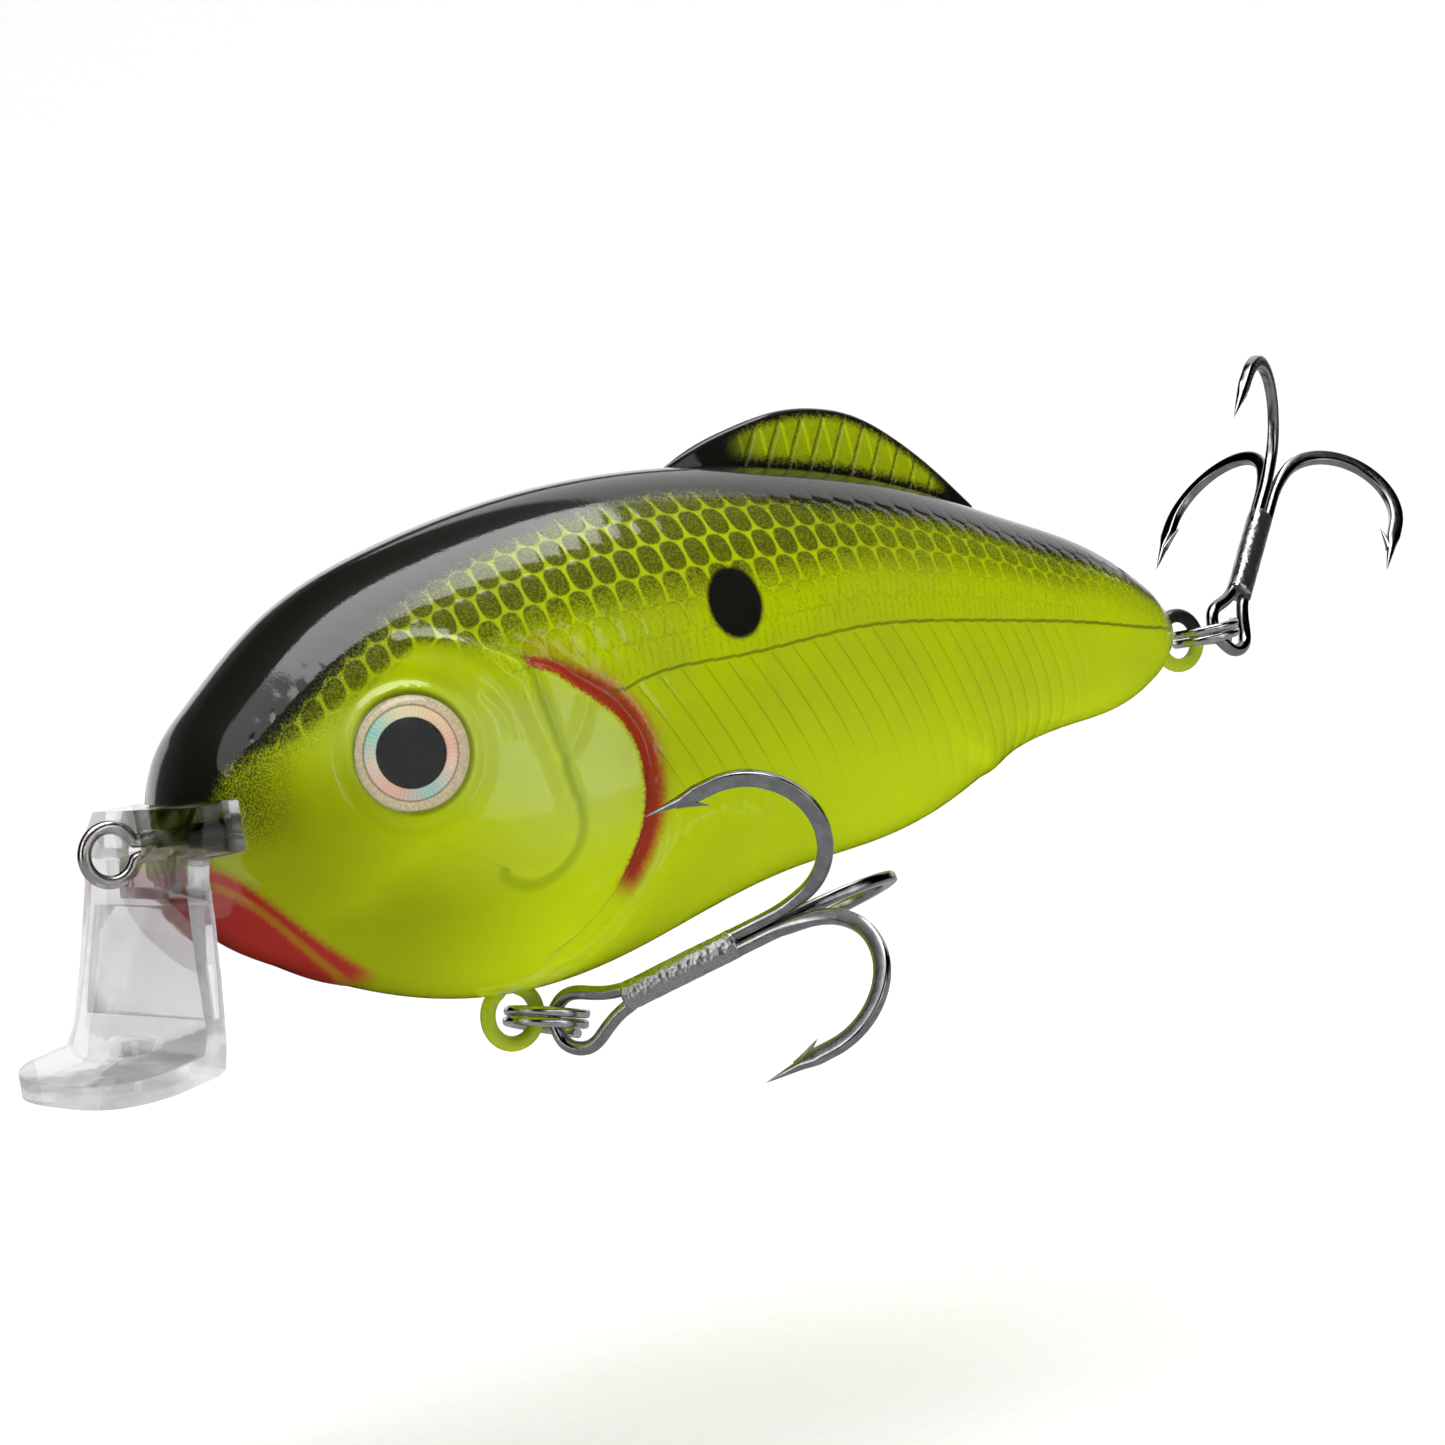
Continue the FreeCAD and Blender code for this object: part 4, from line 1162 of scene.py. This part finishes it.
def black_nickel():
    """Dark bright plating with a rough silver braze."""
    p = Paint("black_nickel_plating")
    fine = p.noise(12.0, 3.0, 0.65)
    broad = p.noise(0.9, 2.0, 0.5)
    lumps = Term(p, p.node("TexVoronoi", Vector=p.place, Scale=2.4).outputs["Distance"])
    plating = p.mix(broad.rise(0.35, 0.7), (0.30, 0.305, 0.32), (0.40, 0.40, 0.41))
    solder = p.mix(fine.rise(0.35, 0.65), (0.28, 0.28, 0.29), (0.62, 0.61, 0.60))
    return p.shader(Base_Color=p.mix(p["braze"], plating, solder), Metallic=1.0,
                    Roughness=fine * 0.05 + 0.08 + p["braze"] * 0.2,
                    Normal=p.bump(fine * 0.25 + lumps * p["braze"] * 1.6, 0.06, 0.55))


def bare_metal(name, dark, light, rough_from, rough_by, grit, drift, bump):
    """Plain metal whose tone drifts, with a fine grain; bump is its distance and strength."""
    p = Paint(name)
    fine = p.noise(grit, 3.0, 0.6)
    broad = p.noise(drift, 2.0, 0.5)
    return p.shader(Base_Color=p.mix(broad.rise(0.35, 0.7), dark, light), Metallic=1.0,
                    Roughness=fine * rough_by + rough_from, Normal=p.bump(fine, *bump))


def wire_metal(name, tone, rough_from):
    """Polished wire with drawing lines."""
    dark = tuple(0.82 * c for c in tone)
    return bare_metal(name, dark, tone, rough_from, 0.1, 10.0, 1.1, (0.02, 0.5))


def overspray(name, black_above):
    """Hanger wire painted with the body: chartreuse, black where the back's spray reached."""
    p = Paint(name)
    fine = p.noise(8.0, 3.0, 0.65)
    z = p.split()[2]
    chipped = fine.rise(0.70, 0.74)
    ground = p.mix(fine.rise(0.4, 0.65), (0.44, 0.55, 0.004), CHARTREUSE)
    ground = p.mix(chipped, ground, (0.45, 0.44, 0.42))
    ink = (z + (fine - 0.5) * 0.8).rise(black_above - 0.25, black_above + 0.25)
    return p.shader(Base_Color=p.mix(ink, ground, INK), Metallic=chipped * 0.9,
                    Roughness=fine * 0.2 + 0.28, Normal=p.bump(fine, 0.05, 0.6), Coat_Weight=0.9,
                    Coat_Roughness=0.05)


def set_material(obj, material):
    """Give a piece one material."""
    obj.data.materials.clear()
    obj.data.materials.append(material)


def finish_piece(obj, material, slot, node, body="lure_body"):
    """Material, body and slot of one piece, and the CAD node that it stands in for."""
    set_material(obj, material)
    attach(obj, body)
    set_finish(obj, slot)
    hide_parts(node)


# Assembly

def build_lure():
    """Every visible piece of the lure."""
    paint, iris, lens = body_paint(), iris_print(), lens_plastic()
    for word, side in (("left", -1), ("right", 1)):
        skin = body_skin(word + "_body_half", side)
        finish_piece(skin, paint, "body_paint", "body_shell_" + word)
    for word, side in (("left", -1), ("right", 1)):
        foil, dome = eye_pieces(word, side)
        finish_piece(foil, iris, "iris_foil", word + "_eye_foil")
        finish_piece(dome, lens, "eye_dome", word + "_eye_dome")
        dome.visible_shadow = False
    lip = clear_lip()
    finish_piece(lip, clear_plastic(), "clear_lip", "diving_lip")
    lip.visible_shadow = False
    nickel = wire_metal("stainless_tie_wire", (0.56, 0.53, 0.53), 0.14)
    tie = wire_loop("line_tie_wire", np.array([0, 0, 0.0]), (1, 0, 0), 1.97, 1.0, 10)
    finish_piece(tie, nickel, "tie_wire", "line_tie")
    belly_eye = wire_loop("belly_hanger_wire", np.array([30.3, 0, -18.0]), (0, 0, 1), 2.17, 1.2, 11)
    finish_piece(belly_eye, overspray("belly_hanger_paint", 40.0), "painted_wire", "belly_hook_hanger")
    tail_eye = wire_loop("tail_hanger_wire", np.array([101.5, 0, 0.1]), (-1, 0, 0), 2.17, 1.2, 10)
    finish_piece(tail_eye, overspray("tail_hanger_paint", 0.35), "painted_wire", "tail_hook_hanger")
    ring_metal = wire_metal("split_ring_nickel", (0.62, 0.62, 0.63), 0.1)
    hook_metal = black_nickel()
    hooks = (
        ("belly", np.array([33.153, 0, -18.927]), 18.0, 2.95, np.array([34.1128, -2.7721, -19.2389]),
         (0.606, -0.729, 0.318), (0.787, 0.607, -0.110), 0.85),
        ("tail", np.array([104.72, 0, 0.1]), 0.0, 2.62, np.array([107.34, 0, 0.1]),
         (0.697, 0.337, 0.632), (-0.219, 0.941, -0.260), 0.9),
    )
    for word, centre, lean, radius, link, shank, eye, slack in hooks:
        ring = coil_ring(word + "_ring_coil", centre, lean, radius)
        finish_piece(ring, ring_metal, "ring_steel", word + "_split_ring", word + "_ring")
        double, single = treble(word, link, shank, eye, slack)
        for hook, kind in ((double, "_double"), (single, "_single")):
            finish_piece(hook, hook_metal, "hook_steel", word + "_treble" + kind, word + "_treble")
    lead = bare_metal("cast_ballast", (0.30, 0.30, 0.32), (0.46, 0.46, 0.48), 0.45, 0.2, 5.0, 0.6,
                      (0.05, 0.6))
    steel = bare_metal("bearing_steel", (0.55, 0.55, 0.56), (0.72, 0.72, 0.72), 0.12, 0.2, 9.0, 0.6,
                       (0.05, 0.6))
    set_material(frame["nodes"]["keel_weight"], lead)
    for name in ("rattle_ball_front", "rattle_ball_middle", "knocker_ball", "rattle_ball_rear"):
        set_material(frame["nodes"][name], steel)


# Camera and light

LENS = 89.7
CAMERA_SPOT = Vector((-104.15, -237.42, 17.43))
CAMERA_RIGHT = Vector((0.818, -0.5537, -0.1559)).normalized()
CAMERA_AHEAD = Vector((0.552, 0.8318, -0.0583)).normalized()


def camera():
    data = bpy.data.cameras.new("camera")
    data.sensor_width = 36
    data.lens = LENS
    data.clip_start = 0.01
    obj = bpy.data.objects.new("camera", data)
    up = CAMERA_RIGHT.cross(CAMERA_AHEAD)
    turn = Matrix((CAMERA_RIGHT, up, -CAMERA_AHEAD)).transposed()
    obj.matrix_world = Matrix.Translation(CAMERA_SPOT * MM) @ turn.to_4x4()
    bpy.context.scene.collection.objects.link(obj)
    bpy.context.scene.camera = obj


def panel(name, spot, size, radiance, glossy=True, aim=None, only=None):
    """Flat light, facing down unless aimed: seen in reflections or felt as light, not both."""
    data = bpy.data.lights.new(name, "AREA")
    data.shape = "RECTANGLE"
    data.size, data.size_y = size
    data.energy = radiance * size[0] * size[1] * math.pi
    obj = bpy.data.objects.new(name, data)
    obj.location = spot
    if aim:
        obj.rotation_euler = (Vector(spot) - Vector(aim)).to_track_quat("Z", "Y").to_euler()
    obj.visible_glossy = glossy
    obj.visible_diffuse = not glossy
    obj.visible_transmission = False
    obj.visible_camera = False
    if only:
        obj.light_linking.receiver_collection = only
    bpy.context.scene.collection.objects.link(obj)


def studio():
    """Pale cove, panels seen only in reflections, cards that only bare metal and the lip see, and fills."""
    world = bpy.data.worlds.new("studio_air")
    world.use_nodes = True
    world.node_tree.nodes["Background"].inputs[0].default_value = (0.82, 0.82, 0.83, 1)
    world.cycles_visibility.diffuse = False
    world.cycles_visibility.glossy = False
    bpy.context.scene.world = world
    p = Paint("paper_cove")
    fibre = p.noise(0.6, 3.0, 0.6)
    tone = p.mix(fibre.rise(0.3, 0.7), (0.93, 0.93, 0.93), (0.95, 0.95, 0.95))
    paper = p.shader(Base_Color=tone, Roughness=fibre * 0.1 + 0.7, Normal=p.bump(fibre, 0.02, 0.3))
    reach, low, back, cove = 1.6, -0.052, 0.9, 0.4
    profile = [(-1.4, low), (back - cove, low)]
    for k in range(1, 17):
        angle = math.pi / 2 * k / 16
        profile.append((back - cove + cove * math.sin(angle), low + cove * (1 - math.cos(angle))))
    profile.append((back, 1.9))
    verts = [(side * reach, y, z) for y, z in profile for side in (-1, 1)]
    faces = grid_faces(len(profile), 2)
    floor = mesh_object("paper_floor", np.array(verts) / MM, faces, math.radians(60))
    floor.rotation_euler = (0, 0, math.atan2(-CAMERA_AHEAD.x, CAMERA_AHEAD.y))
    floor.data.materials.append(paper)
    floor.visible_glossy = False
    panel("top_panel", (0.11, -0.12, 0.9), (0.86, 0.6), 4.3)
    panel("top_panel_front", (-0.78, -0.12, 0.9), (0.92, 0.6), 1.2)
    panel("top_panel_rear", (1.77, 0.72, 0.9), (2.46, 1.3), 0.9)
    panel("cove_card", (0.45, 0.79, 0.17), (1.6, 0.36), 1.0, aim=(0, 0, 0))
    panel("front_card", (0.33, -0.77, 0.11), (0.16, 0.66), 1.1, aim=(0.03, -0.01, 0))
    metal = bpy.data.collections.new("bare_metal")
    for obj in bpy.data.objects:
        if obj.get("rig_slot") in ("hook_steel", "ring_steel", "tie_wire", "clear_lip"):
            metal.objects.link(obj)
    panel("metal_floor_card", (0.1, 0.0, -0.051), (1.6, 1.6), 0.4, aim=(0.1, 0.0, 0.5), only=metal)
    panel("metal_front_card", (0.1, -1.0, 0.25), (1.6, 0.34), 1.15, aim=(0.05, 0, 0.0), only=metal)
    panel("metal_left_card", (-1.0, -0.1, 0.35), (0.3, 0.9), 2.6, aim=(0.05, 0, 0.0), only=metal)
    panel("sky", (0.1, -0.05, 1.3), (2.2, 2.2), 2.6, glossy=False)
    panel("front_fill", (-0.35, -1.1, 0.35), (0.9, 0.9), 0.32, glossy=False, aim=(0.04, 0, 0))
    view = bpy.context.scene.view_settings
    view.view_transform = "Standard"
    view.exposure = 0
    view.gamma = 1


build_lure()
studio()
camera()
